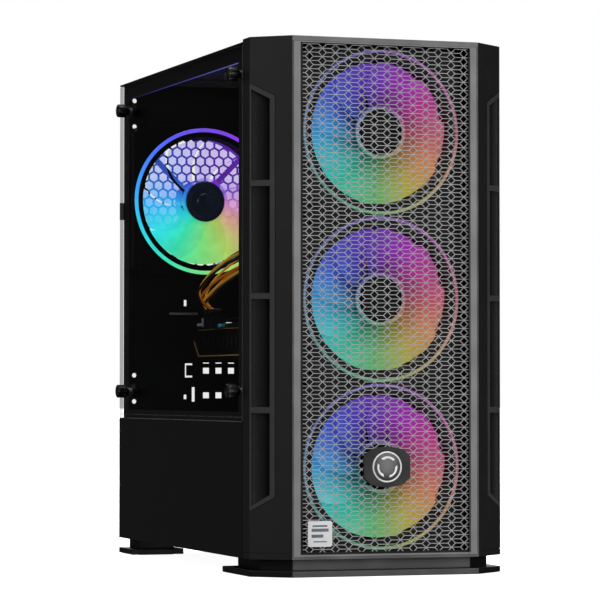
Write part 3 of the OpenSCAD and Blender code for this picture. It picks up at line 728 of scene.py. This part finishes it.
def front_mesh():
    lo, hi = span("mesh_grille")
    left, right, foot, top = MESH_BORDER
    x0, x1 = lo[0] + left, hi[0] - right
    z0, z1 = lo[2] + foot, hi[2] - top
    bm = bmesh.new()
    rows = range(int(z0 // PITCH_Z) - 1, int(z1 // PITCH_Z) + 2)
    for outline in mesh_cells(range(-8, 8), rows):
        outer = [Vector(p) for p in outline]
        rings = [[bm.verts.new(at(p.x, MESH_DEPTH, p.y)) for p in ring]
                 for ring in (outer, inset(outer, BAR / 2))]
        add_rings(bm, rings)
    merge(bm, 0.00002)
    for point, direction in ((at(x0, 0, 0), (-1, 0, 0)), (at(x1, 0, 0), (1, 0, 0)),
                             (at(0, 0, z0), (0, 0, -1)), (at(0, 0, z1), (0, 0, 1))):
        cut(bm, point, direction)
    made = bmesh.ops.extrude_face_region(bm, geom=bm.faces[:], use_keep_orig=True)["geom"]
    back = [g for g in made if isinstance(g, bmesh.types.BMVert)]
    bmesh.ops.translate(bm, vec=(0, MESH_THICK * MM, 0), verts=back)
    depth = (MESH_DEPTH + 0.02, MESH_DEPTH + 0.9)
    for x, z in (((lo[0], x0), (lo[2], hi[2])), ((x1, hi[0]), (lo[2], hi[2])),
                 ((x0, x1), (lo[2], z0)), ((x0, x1), (z1, hi[2]))):
        add_block(bm, x, depth, z, material=1)
    piece("front_mesh", bm, "front_bezel", [MESH_PAINT, FAN_BLACK], ["mesh_grille"],
          smooth=0)


# ---- Screens in the windows of the slanted corners ----

WINDOW_U = (0.6, 15.5)
WINDOW_EDGES = [((50.3, 58.7), (116.4, 116.4)), ((120.6, 120.6), (197.3, 197.3)),
                ((201.5, 201.5), (277.5, 277.5)), ((281.7, 281.7), (346.7, 339.5))]
THREAD_PITCH = 1.3
THREAD = 0.4

# Seams round each row of windows: their ends, and the way in which they are as wide as SEAM.
SEAM = 0.45
SEAMS = [((19.2, 56.9), (19.2, 341.6), (SEAM, 0)), ((0.2, 351.4), (19.3, 341.9), (0, -SEAM)),
         ((0.2, 46.7), (19.3, 56.7), (0, SEAM))]


def corner_frame(side, inward):
    """Placement on a slanted corner: X along it from its rear edge, Y up, Z inwards."""
    columns = ((cos(SLANT), -sin(SLANT), 0), (0, 0, 1), (sin(SLANT), cos(SLANT), 0))
    turn = Matrix(columns).transposed().to_4x4()
    mirror = Matrix.Diagonal((-side, 1, 1, 1))
    edge = Matrix.Translation((-SIDE_X * MM, 0, 0))
    return (Matrix.Translation(at(0, SLANT_DEPTH, 0)) @ mirror @ edge @ turn
            @ Matrix.Translation((0, 0, inward * MM)))


def add_screen(bm, side, low, high):
    """Cloth of crossed threads in one window; low and high are heights at its two ends."""
    u0, u1 = WINDOW_U
    add_prism(bm, corner_frame(side, 1.7), [(u0, low[0] - 0.2), (u1, low[1] - 0.2),
                                            (u1, high[1] + 0.2), (u0, high[0] + 0.2)], 0.6)
    threads = corner_frame(side, 1.45)
    for i in range(1, int((u1 - u0) / THREAD_PITCH)):
        u = u0 + i * THREAD_PITCH
        share = (u - u0) / (u1 - u0)
        z0 = low[0] + share * (low[1] - low[0])
        z1 = high[0] + share * (high[1] - high[0])
        add_prism(bm, threads, [(u, z0), (u + THREAD, z0), (u + THREAD, z1), (u, z1)], 0.3)
    for i in range(1, int((min(high) - max(low)) / THREAD_PITCH)):
        z = max(low) + i * THREAD_PITCH
        add_prism(bm, threads, [(u0, z), (u1, z), (u1, z + THREAD), (u0, z + THREAD)], 0.28)


def window_screens():
    """The screens behind the windows, and the fine seams round the windows' rims."""
    bm = bmesh.new()
    for side in (-1, 1):
        for low, high in WINDOW_EDGES:
            add_screen(bm, side, low, high)
        seam = corner_frame(side, -0.02)
        for (u, z), (v, w), (du, dz) in SEAMS:
            add_prism(bm, seam, [(u, z), (v, w), (v + du, w + dz), (u + du, z + dz)], 0.05,
                      material=1)
    piece("window_screens", bm, "front_bezel", [CLOTH, FAN_BLACK], smooth=0)


# ---- Fans ----

def add_blade(bm, place, turn, hub, tip, low, high, chord, lead, taper):
    """One curved blade: its section turns and flattens from the hub to the tip."""
    along, across = 14, 8
    thick = 1.1
    grids = ([], [])
    for i in range(along + 1):
        u = i / along
        radius = hub - 1 + u * (tip - hub + 1)
        width = radians(chord) * (1 - taper * max(0, 2 * u - 1) ** 4)
        rise = (high - low - thick) * (0.85 - 0.3 * u)
        for grid in grids:
            grid.append([])
        for j in range(across + 1):
            v = j / across - 0.5
            a = turn + radians(lead) * u ** 1.6 + v * width
            height = (low + high - thick) / 2 + v * rise - 0.7 * (1 - 4 * v * v)
            for side, grid in enumerate(grids):
                point = Vector((radius * sin(a), -radius * cos(a), height + side * thick))
                grid[-1].append(bm.verts.new(place @ (point * MM)))
    for grid in grids:
        for one, two in zip(grid, grid[1:]):
            for j in range(across):
                bm.faces.new([one[j], one[j + 1], two[j + 1], two[j]])
    rim = [(i, 0) for i in range(along)] + [(along, j) for j in range(across)]
    rim += [(i, across) for i in range(along, 0, -1)] + [(0, j) for j in range(across, 0, -1)]
    for (i, j), (m, n) in zip(rim, rim[1:] + rim[:1]):
        bm.faces.new([grids[0][i][j], grids[0][m][n], grids[1][m][n], grids[1][i][j]])


def rotor(name, body, node, place, size, blades, shape, materials):
    """A fan's moving half, in place of its CAD node.

    size is (hub, tip, height, shaft) and shape is a blade's (chord, lead, taper).
    """
    hub, tip, height, shaft = size
    bm = bmesh.new()
    for i in range(blades):
        add_blade(bm, place, 2 * pi * i / blades, hub, tip, 0.6, height - 0.6, *shape)
    rings = [(0, 0.5), (0.2 * hub, 0.5), (0.23 * hub, 0.2), (0.36 * hub, 0.2), (0.4 * hub, 0.8),
             (0.56 * hub, 0.8), (0.6 * hub, 0.3), (0.84 * hub, 0.3), (0.88 * hub, 0.7),
             (0.95 * hub, 0.9), (hub, 1.8), (hub, height - 1.5),
             (hub - 1.2, height), (1.5, height), (1.5, shaft), (0, shaft)]
    add_lathe(bm, place, rings, 64, material=1)
    add_lathe(bm, place, [(hub - 0.5, 0.9), (hub + 1.9, 0.9), (hub + 2.4, 1.4), (hub + 2.4, 1.9),
                          (hub - 0.5, 1.9), (hub - 0.5, 0.9)], 64)
    merge(bm, 0.000001)
    piece(name, bm, body, materials, [node], smooth=40)


# Light, blades and hub of the case fans. alpha, dim and left are glowing()'s, chord is a blade's
# width in degrees, and shift is how far the rotor sits to the right of its CAD node's middle.
FRONT_LOOK = dict(hours=HOURS, strength=0.56, alpha=(0.97, 0.97), dim=0.14, chord=48, shift=0.35,
                  hub=FAN_BLACK, ring_strength=0.24, ring_left=0.15, ring_half=1.2)
REAR_LOOK = dict(hours=REAR_HOURS, strength=1.35, alpha=(0.92, 0.24), dim=0.9, chord=42,
                 shift=0.65, hub=HUB, ring_strength=1.5, ring_left=1.0, ring_half=1.5)


def light_ring(label, node, look):
    """Light guide let into the face of the fan frame."""
    x, _, z = middle(node)
    depth = span(node)[0][1] - 1
    bm = bmesh.new()
    inner = RING_R - look["ring_half"]
    outer = RING_R + look["ring_half"]
    add_lathe(bm, facing(at(x, depth, z), "+Y"),
              [(inner, 0.4), (inner, -0.2), (inner + 0.4, -0.6), (outer - 0.4, -0.6),
               (outer, -0.2), (outer, 0.4), (inner, 0.4)], 96)
    merge(bm, 0.00001)
    light = glowing("ring_light_" + label, at(x, depth, z), look["hours"],
                    look["ring_strength"], left=look["ring_left"])
    piece("light_ring_" + label, bm, "chassis", light)


def case_fans():
    fans = [(str(i), f"front_fan_{i}", f"front_rotor_{i}", FRONT_LOOK) for i in (1, 2, 3)]
    fans.append(("rear", "rear_fan", "rear_rotor", REAR_LOOK))
    for label, body, node, look in fans:
        x, depth, z = middle(node)
        place = facing(at(x + look["shift"], span(node)[0][1], z), "+Y")
        light = glowing("blade_light_" + label, at(x, depth, z), look["hours"],
                        look["strength"], look["alpha"], look["dim"])
        rotor("lit_rotor_" + label, body, node, place, (HUB_R, FAN_R, 20, 23), BLADES,
              (look["chord"], 24, 0.05), [light, look["hub"]])
        light_ring(label, node, look)


def small_fans():
    """Rotors of the processor's cooler, the graphics card and the power supply."""
    black = [FAN_BLACK, HUB]
    taper = 0.28
    _, depth, z = middle("cpu_fan_frame")
    place = facing(at(span("cpu_rotor")[0][0], depth, z), "+X")
    rotor("cooler_rotor", "cpu_fan", "cpu_rotor", place, (14, 41, 18.5, 21.5), 7,
          (46, 26, taper), black)
    for i, depth in ((1, 188), (2, 296)):
        node = f"gpu_rotor_{i}"
        place = facing(at(11.5, depth, span(node)[1][2]), "-Z")
        rotor(f"card_rotor_{i}", f"gpu_fan_{i}", node, place, (14, 41.5, 11.4, 14.4), 11,
              (30, 34, taper), black)
    place = facing(at(0, middle("psu_case")[1], span("psu_rotor")[1][2]), "-Z")
    rotor("supply_rotor", "psu_fan", "psu_rotor", place, (15, 53, 16, 19), 7,
          (42, 28, taper), black)


# ---- Screws ----

def add_knurled_head(bm, place, radius, length, base, teeth):
    """A thumbscrew's head: fine teeth round it, a waist, and a dished face."""
    steps = teeth * 4
    profile = [(base, 0, 0), (base, 1.0, 0), (radius - 0.9, 1.6, 0), (radius - 0.3, 1.9, 1),
               (radius, 2.4, 1), (radius, length - 0.9, 1), (radius - 0.5, length - 0.2, 1),
               (radius - 1.1, length, 0), (radius - 1.6, length - 0.5, 0)]
    rings = []
    for r, height, toothed in profile:
        ring = []
        for i in range(steps):
            a = 2 * pi * i / steps
            edge = r - (0.32 * toothed if i % 4 in (1, 2) else 0)
            local = Vector((edge * cos(a), edge * sin(a), height)) * MM
            ring.append(bm.verts.new(place @ local))
        rings.append(ring)
    add_rings(bm, rings, caps=True)


def add_thread(bm, place, length):
    """A screw shank with rings for its thread."""
    radius, pitch = 2.0, 0.8
    profile = [(0, 0), (radius - 0.5, 0), (radius - 0.2, 0.4)]
    for i in range(int(length / pitch) - 1):
        height = 0.5 + i * pitch
        profile += [(radius, height), (radius - 0.35, height + pitch / 2)]
    profile += [(radius - 0.3, length), (0, length)]
    add_lathe(bm, place, profile, 20)


def thumbscrews():
    face = span("glass_panel")[0][0] - 0.1
    for i in (1, 2, 3, 4):
        node = f"thumbscrew_{i}"
        lo, hi = span(node)
        _, depth, z = middle(node)
        bm = bmesh.new()
        add_knurled_head(bm, facing(at(face, depth, z), "-X"), (hi[2] - lo[2]) / 2,
                         face - lo[0], 3.6, 26)
        add_thread(bm, facing(at(hi[0], depth, z), "-X"), hi[0] - face)
        piece(f"knurled_screw_{i}", bm, node, SCREW, [node], smooth=25)
    for i in (1, 2):
        node = f"panel_screw_{i}"
        lo, hi = span(node)
        x, _, z = middle(node)
        base = hi[1] - 6
        bm = bmesh.new()
        add_knurled_head(bm, facing(at(x, base, z), "+Y"), (hi[2] - lo[2]) / 2, 6, 3.4, 22)
        add_thread(bm, facing(at(x, lo[1], z), "+Y"), base - lo[1])
        piece(f"rear_thumbscrew_{i}", bm, node, SCREW, [node], smooth=25)


# ---- Badge and sticker: generic marks with no lettering ----

def badge():
    lo, hi = span("badge")
    x, _, z = middle("badge")
    half_w, half_h = (hi[0] - lo[0]) / 2, (hi[2] - lo[2]) / 2
    top = [(-half_w, 0.52 * half_h)]
    top += [(s * half_w, half_h - 2.2 * (s / 0.72) ** 2) for s in (-0.72, -0.45, 0, 0.45, 0.72)]
    top += [(half_w, 0.52 * half_h)]
    bm = bmesh.new()
    outline = top + [(px, -py) for px, py in top[::-1]]
    add_prism(bm, facing(at(x, hi[1], z), "-Y"), outline, hi[1] - lo[1] - 0.5, bevel=0.5)
    disc = facing(at(x, lo[1] + 0.5, z), "-Y")
    ring, rim = 9.9, 11.1
    add_lathe(bm, disc, [(0, 0.2), (ring - 0.3, 0.2), (ring, 0.1), (ring, -0.2)], 64, material=1)
    add_lathe(bm, disc, [(ring, 0.1), (10.5, 0.4), (rim, 0.1), (rim, -0.2)], 64, material=2)
    for k in range(3):
        outer = arc(7.6, 14, 10, 100)
        inner = [(px * 0.62 + 1.1, py * 0.62 + 1.1) for px, py in outer]
        turn = Matrix.Rotation(radians(120 * k + 30), 4, "Z")
        raised = disc @ turn @ Matrix.Translation((0, 0, 0.15 * MM))
        add_prism(bm, raised, outer + inner[::-1], 0.3, material=2)
    grey = grained("badge_grey", 24, 0.5, 0.8, 0.03, Specular_IOR_Level=0.25).material
    materials = [grey, SCREW, painted("badge_white", 245, 0.35)]
    piece("front_badge", bm, "front_bezel", materials, ["badge"])


def sticker():
    """White rounded square with plain bars in place of any wording."""
    bm = bmesh.new()
    place = facing(at(-49.2, MESH_DEPTH - 0.02, 31.0), "-Y")
    add_prism(bm, place, rounded_square(9.1, 1.6), 0.3)
    face = place @ Matrix.Translation((0, 0, 0.3 * MM))
    bars = [(-5.6, 5.4, 5.0, 1.2), (-6.4, 6.4, 1.6, 2.2), (-6.4, 2.4, -2.6, 2.2),
            (-5.0, 5.0, -5.9, 0.8)]
    for x0, x1, y, tall in bars:
        add_prism(bm, face, [(x0, y), (x1, y), (x1, y + tall), (x0, y + tall)], 0.05, material=1)
    materials = [painted("sticker_white", 232, 0.35), painted("sticker_ink", (66, 78, 96))]
    piece("front_sticker", bm, "front_bezel", materials, smooth=0)


# ---- Inside the case ----

CABLE_ROUTE = [(83, 112, 214), (66, 114, 222), (40, 126, 231), (14, 150, 239), (-6, 180, 243),
               (-20, 212, 241), (-32, 242, 234), (-42, 262, 224), (-48, 274, 215),
               (-50, 282, 208), (-48, 285, 202), (-44, 285.5, 198), (-42, 285, 194)]
WIRE_R = 0.95
PLUG_SHARE = 0.28  # the last part of the route, where the wires close up to their pins
WIRE_COLOURS = (0, 1, 2, 0, 1, 2, 0, 2)


def card_wires():
    """Eight loose wires from the tray to the plug on the graphics card."""
    path = smooth_path([at(*p) for p in CABLE_ROUTE])
    frames = path_frames(path)
    bm = bmesh.new()
    for k, colour in enumerate(WIRE_COLOURS):
        packed = 2 * pi * k / len(WIRE_COLOURS)
        pin = Vector((4.2 * (k // 4 - 0.5), 4.2 * (k % 4 - 1.5), 0)) * MM
        wire = []
        for i, (point, (u, v)) in enumerate(zip(path, frames)):
            t = i / (len(path) - 1)
            loose = (2.7 + (4.2 + 0.9 * (k % 3)) * sin(pi * t) ** 2) * MM
            to_plug = max(0.0, (t - 1 + PLUG_SHARE) / PLUG_SHARE)
            bundle = (u * cos(packed + t) + v * sin(packed + t)) * loose
            wire.append(point + bundle * (1 - to_plug) + pin * to_plug)
        add_tube(bm, wire, WIRE_R, 8, material=colour)
    x, depth, z = CABLE_ROUTE[-1]
    add_block(bm, around(x, 4.6), around(depth, 9.2), (z - 0.8, z + 3.4), 0.5, material=3)
    add_block(bm, (x - 6.2, x - 4.4), around(depth, 2.5), (z - 0.8, z + 2.2), 0.4, material=3)
    piece("card_wires", bm, "chassis", [*WIRES, SOCKET], ["gpu_cable"], smooth=50)


def add_strip(bm, x, points, width, proud):
    """A flat line along (depth, z) points on a face that looks towards -X."""
    for (d0, z0), (d1, z1) in zip(points, points[1:]):
        turn = Matrix.Rotation(atan2(z1 - z0, d1 - d0), 4, "X")
        place = Matrix.Translation(at(x, d0, z0)) @ turn
        size = hypot(d1 - d0, z1 - z0) + width / 2
        box = Matrix.Translation(Vector((-proud / 2, size / 2, 0)) * MM)
        scale = Matrix.Diagonal((proud * MM, size * MM, width * MM, 1))
        bmesh.ops.create_cube(bm, size=1, matrix=place @ box @ scale)


def card_trim():
    """Line along the card's side, its clamp at the rear wall and parts at the plug."""
    bm = bmesh.new()
    side = span("gpu_shroud")[0][0]
    add_strip(bm, side, [(351.5, 172.6), (338.5, 160.4), (136, 160.4)], 1.0, 0.4)
    add_strip(bm, side, [(340, 181.6), (136, 181.6)], 0.5, 0.3)
    for depth in range(150, 330, 12):
        add_block(bm, (side - 0.6, side + 0.2), (depth, depth + 7), (166, 176.5), 0.2, material=1)
    add_block(bm, (-54, -30), (364.4, 366.9), (194.7, 196.6), 0.3, material=2)
    add_block(bm, (-41, -37), (300, 318), (183.6, 190.6), 0.4, material=4)
    add_block(bm, (-41, -37), (266, 288), (182.6, 185.4), 0.4, material=3)
    add_block(bm, (-40, -37), (326, 334), (184.6, 186.8), 0.3, material=2)
    # The bracket parts (material 2) are a flat light grey: silver metal with its bright reflection
    # painted in.
    colours = [ORANGE_LINE, CHIP, painted("bracket_sheen", 205),
               painted("connector_cyan", (90, 210, 235)), painted("connector_lilac", (170, 160, 196))]
    piece("card_trim", bm, "chassis", colours)


CAN, RESIN, PLASTIC, TERMINAL = range(4)


def add_can(bm, depth, z, radius, height):
    """An upright capacitor on the main board."""
    place = facing(at(BOARD_X, depth, z), "-X")
    add_lathe(bm, place, [(0, -0.1), (radius + 0.2, -0.1), (radius + 0.2, 0.8), (radius, 1.0),
                          (radius, 1.5), (radius - 0.3, 1.8), (radius, 2.1), (radius, height - 0.4),
                          (radius - 0.4, height), (0, height)], 20, CAN)
    add_block(bm, (BOARD_X - height - 0.05, BOARD_X - height + 0.1),
              around(depth, radius * 0.7), around(z, 0.3), material=RESIN)


def add_chip(bm, depth, z, size, tall=1.2, material=RESIN):
    add_block(bm, (BOARD_X - tall, BOARD_X + 0.05), around(depth, size[0] / 2),
              around(z, size[1] / 2), 0.15, material)


def board_parts():
    """Capacitors, coils and chips on the main board."""
    bm = bmesh.new()
    for z in range(252, 332, 10):
        add_chip(bm, 322.5, z, (7, 7), 5.5)
    for z in (257, 307, 317, 327):
        add_can(bm, 313.5, z, 2.4, 7)
    for depth in range(240, 280, 9):
        add_chip(bm, depth, 337.5, (6.5, 5), 4.5)
        add_can(bm, depth + 4, 358, 2.6, 8)
    for i in range(6):
        add_can(bm, 140 + 11 * i, 226, 2.6, 8)
        add_can(bm, 286 + 9 * i, 228 + 4 * (i % 2), 2.9, 9)
        add_chip(bm, 150 + 18 * i, 196, (8, 5))
    for i in range(9):
        add_chip(bm, 180 + 17 * i, 129, (12, 3.2), 7, PLASTIC)
        add_chip(bm, 190 + 15 * i, 150 + 3 * (i % 3), (4, 4), 1.0)
        add_chip(bm, 300 + 5 * i, 214 + 3 * (i % 2), (2.2, 1.1), 0.9, TERMINAL)
        add_chip(bm, 145 + 6 * i, 300 + 9 * (i % 4), (2.4, 1.2), 0.9, TERMINAL)
    add_chip(bm, 340, 190, (9, 9), 1.4)
    add_chip(bm, 326, 240, (12, 12), 1.4)
    for depth in (142, 152):
        for z in range(242, 292, 5):
            add_chip(bm, depth, z, (1.8, 1.0), 0.8, TERMINAL)
    piece("board_parts", bm, "chassis", [ALUMINIUM, CHIP, SOCKET, STEEL], smooth=35)


def board_supply_wires():
    """Ribbon of wires from the tray to the main socket at the board's front edge."""
    bm = bmesh.new()
    for row in range(2):
        for k in range(12):
            z = 240.5 + k * 4.4
            x = 63.5 + row * 4.6
            away = 9 + 3 * row
            points = [at(x, 128, z), at(x - away, 128, z), at(x - away - 2, 119, z - 2),
                      at(x - away + 6, 108, 232.5 + (z - 240.5) * 0.45), at(84.5, 107, 209 + k * 4.0)]
            add_tube(bm, smooth_path(points, 5), WIRE_R, 6)
    add_block(bm, (57, 61.5), (123.5, 132.5), (239, 291), 0.5, material=1)
    piece("main_supply_wires", bm, "chassis", [WIRES[2], SOCKET], smooth=50)


# ---- Sockets, filters and small parts on the outside ----

JACK = [(1.9, -0.2), (3.6, -0.2), (3.6, 0.2), (3.3, 0.45), (2.0, 0.45), (1.9, 0.3), (1.9, -0.2)]
TOP_JACK = [(1.9, -0.3), (3.2, -0.3), (3.2, -0.1), (1.9, -0.1), (1.9, -0.3)]
CONTACT_PITCH = 2.6
BLACK, BLUE, CONTACT, ROSE, GREEN, PALE_BLUE = range(6)


def add_rear_tongues(bm):
    for z0, z1, colour in ((332, 347, BLUE), (295, 310, BLACK)):
        for x in (50.5, 65.5):
            middle_z = (z0 + z1) / 2
            add_block(bm, (x + 0.6, x + 2.2), (352, 366.4), around(middle_z, 5.4), 0.2, colour)
            for k in range(4):
                z = middle_z - 3.9 + CONTACT_PITCH * k
                add_block(bm, (x + 0.4, x + 0.65), (358, 366), around(z, 0.5), material=CONTACT)
    for z in ((315.5, 326.5), (282.5, 289.5)):
        add_block(bm, (65.1, 66.1), (352, 366), z, 0.2, BLACK)
    for k in range(8):
        z = 261.8 + 1.25 * k
        add_block(bm, (70.6, 71.2), (350, 362), (z, z + 0.5), material=CONTACT)
    for z, colour in ((214, ROSE), (228, GREEN), (242, PALE_BLUE)):
        add_lathe(bm, facing(at(67, 368.3, z), "+Y"), JACK, 32, colour)


def add_top_tongues(bm):
    for x in (6, 26):
        add_block(bm, around(x, 5.4), (62.5, 64.1), (369.5, 382.4), 0.2, BLUE)
        for k in range(4):
            left = x - 4.4 + CONTACT_PITCH * k
            add_block(bm, (left, left + 1), (62.3, 62.55), (374, 382), material=CONTACT)
    for x, colour in ((42, GREEN), (53, ROSE)):
        add_lathe(bm, facing(at(x, 62, 383.9), "+Z"), TOP_JACK, 32, colour)


def socket_tongues():
    """What is seen in the mouths of the sockets: tongues, contacts and jack rings."""
    bm = bmesh.new()
    add_rear_tongues(bm)
    add_top_tongues(bm)
    merge(bm, 0.000005)
    colours = [SOCKET, painted("tongue_blue", (24, 78, 164)), BRASS,
               painted("jack_rose", (196, 96, 120)), painted("jack_green", (86, 158, 84)),
               painted("jack_blue", (84, 134, 190))]
    piece("socket_tongues", bm, "chassis", colours)


def dust_filter(name, body, node, edge, ribs, grip=0.0):
    """A frame with ribs and a fine net of crossed threads."""
    lo, hi = span(node)
    top = hi[2] - grip
    x, depth = (lo[0], hi[0]), (lo[1], hi[1])
    bm = bmesh.new()
    for side in (x[0], x[1] - edge):
        add_block(bm, (side, side + edge), depth, (lo[2], top), 0.3)
    inside = (x[0] + edge - 0.3, x[1] - edge + 0.3)
    bars = [depth[0] + i * (depth[1] - depth[0] - edge) / (ribs + 1) for i in range(ribs + 2)]
    for i, bar in enumerate(bars):
        width = edge if i in (0, ribs + 1) else 3.0
        add_block(bm, inside, (bar, bar + width), (lo[2] + 0.1, top - 0.1), 0.2)
    pitch, thread = 2.4, 0.4
    level = (lo[2] + top) / 2
    for i in range(1, int((inside[1] - inside[0]) / pitch)):
        p = inside[0] + i * pitch
        add_block(bm, (p, p + thread), (depth[0] + 2, depth[1] - 2), (level - 0.2, level + 0.05), 0, 1)
    for i in range(1, int((depth[1] - depth[0] - 4) / pitch)):
        p = depth[0] + 2 + i * pitch
        add_block(bm, inside, (p, p + thread), (level - 0.05, level + 0.2), 0, 1)
    if grip:
        add_block(bm, (-20, 20), (hi[1] - 2, hi[1]), (top - 0.2, hi[2]), 0.3)
    piece(name, bm, body, [SOCKET, NET], [node])


def side_details():
    """Tab behind the pane's rear edge, pads under the pane's screws, and two pale painted highlights
    along the pane's foot.
    """
    bm = bmesh.new()
    add_block(bm, (-95.9, -92.0), (366.7, 367.9), (272, 286), 0.3)
    for depth, z in ((341, 359), (341, 132), (45, 360), (45, 132)):
        add_lathe(bm, facing(at(-92.95, depth, z), "+X"),
                  [(2.6, 0.02), (4.8, 0.02), (4.8, 0.6), (2.6, 0.6), (2.6, 0.02)], 40)
    merge(bm, 0.000005)
    # Painted highlights: a pale line in the gap under the pane and one on the side frame's face just
    # above it.
    add_block(bm, (-95.98, -95.6), (39, 366), (110.02, 110.46), 0, material=1)
    face = span("side_frame")[0][0]
    add_block(bm, (face - 0.1, face + 0.1), (40, 366), (113.1, 113.5), 0, material=2)
    colours = [RUBBER, painted("sill_highlight", 120, 0.3), painted("flange_highlight", 96, 0.3)]
    piece("side_details", bm, "chassis", colours, smooth=40)


def top_light_line():
    """Painted reflection of the fans' light: a thin glowing coloured line along the top of the side
    opening, fading to the rear.
    """
    bm = bmesh.new()
    face = span("side_frame")[0][0]
    add_block(bm, (face - 0.2, face + 0.1), (57, 353), (LINE_Z, LINE_Z + 0.6), 0.05)
    s = Shader("violet_light", shade((20, 18, 40)), 0.4, Emission_Strength=1.0)
    share = s.between(s.geometry("Position", "Y"), 0.0, 1.0, -0.12, 0.15)
    colour = s.ramp(share, [(0, shade((92, 100, 200))), (0.5, shade((66, 60, 150))),
                            (1, shade((24, 20, 48)))])
    s.set("Emission Color", s.blend(s.between(s.noise(40, 2), 0, 0.2), colour, (0.0, 0.0, 0.0)))
    piece("top_light_line", bm, "chassis", s.material, smooth=0)


# ---- Build ----

make_camera()
make_floor()
make_surround()
make_lights()
dress_nodes()
soften_edges()
front_mesh()
window_screens()
case_fans()
small_fans()
thumbscrews()
badge()
sticker()
card_wires()
card_trim()
board_parts()
board_supply_wires()
socket_tongues()
dust_filter("top_dust_filter", "top_filter", "top_filter", 7, 3)
dust_filter("supply_dust_filter", "psu_filter", "psu_filter", 5, 1, grip=2.1)
side_details()
top_light_line()
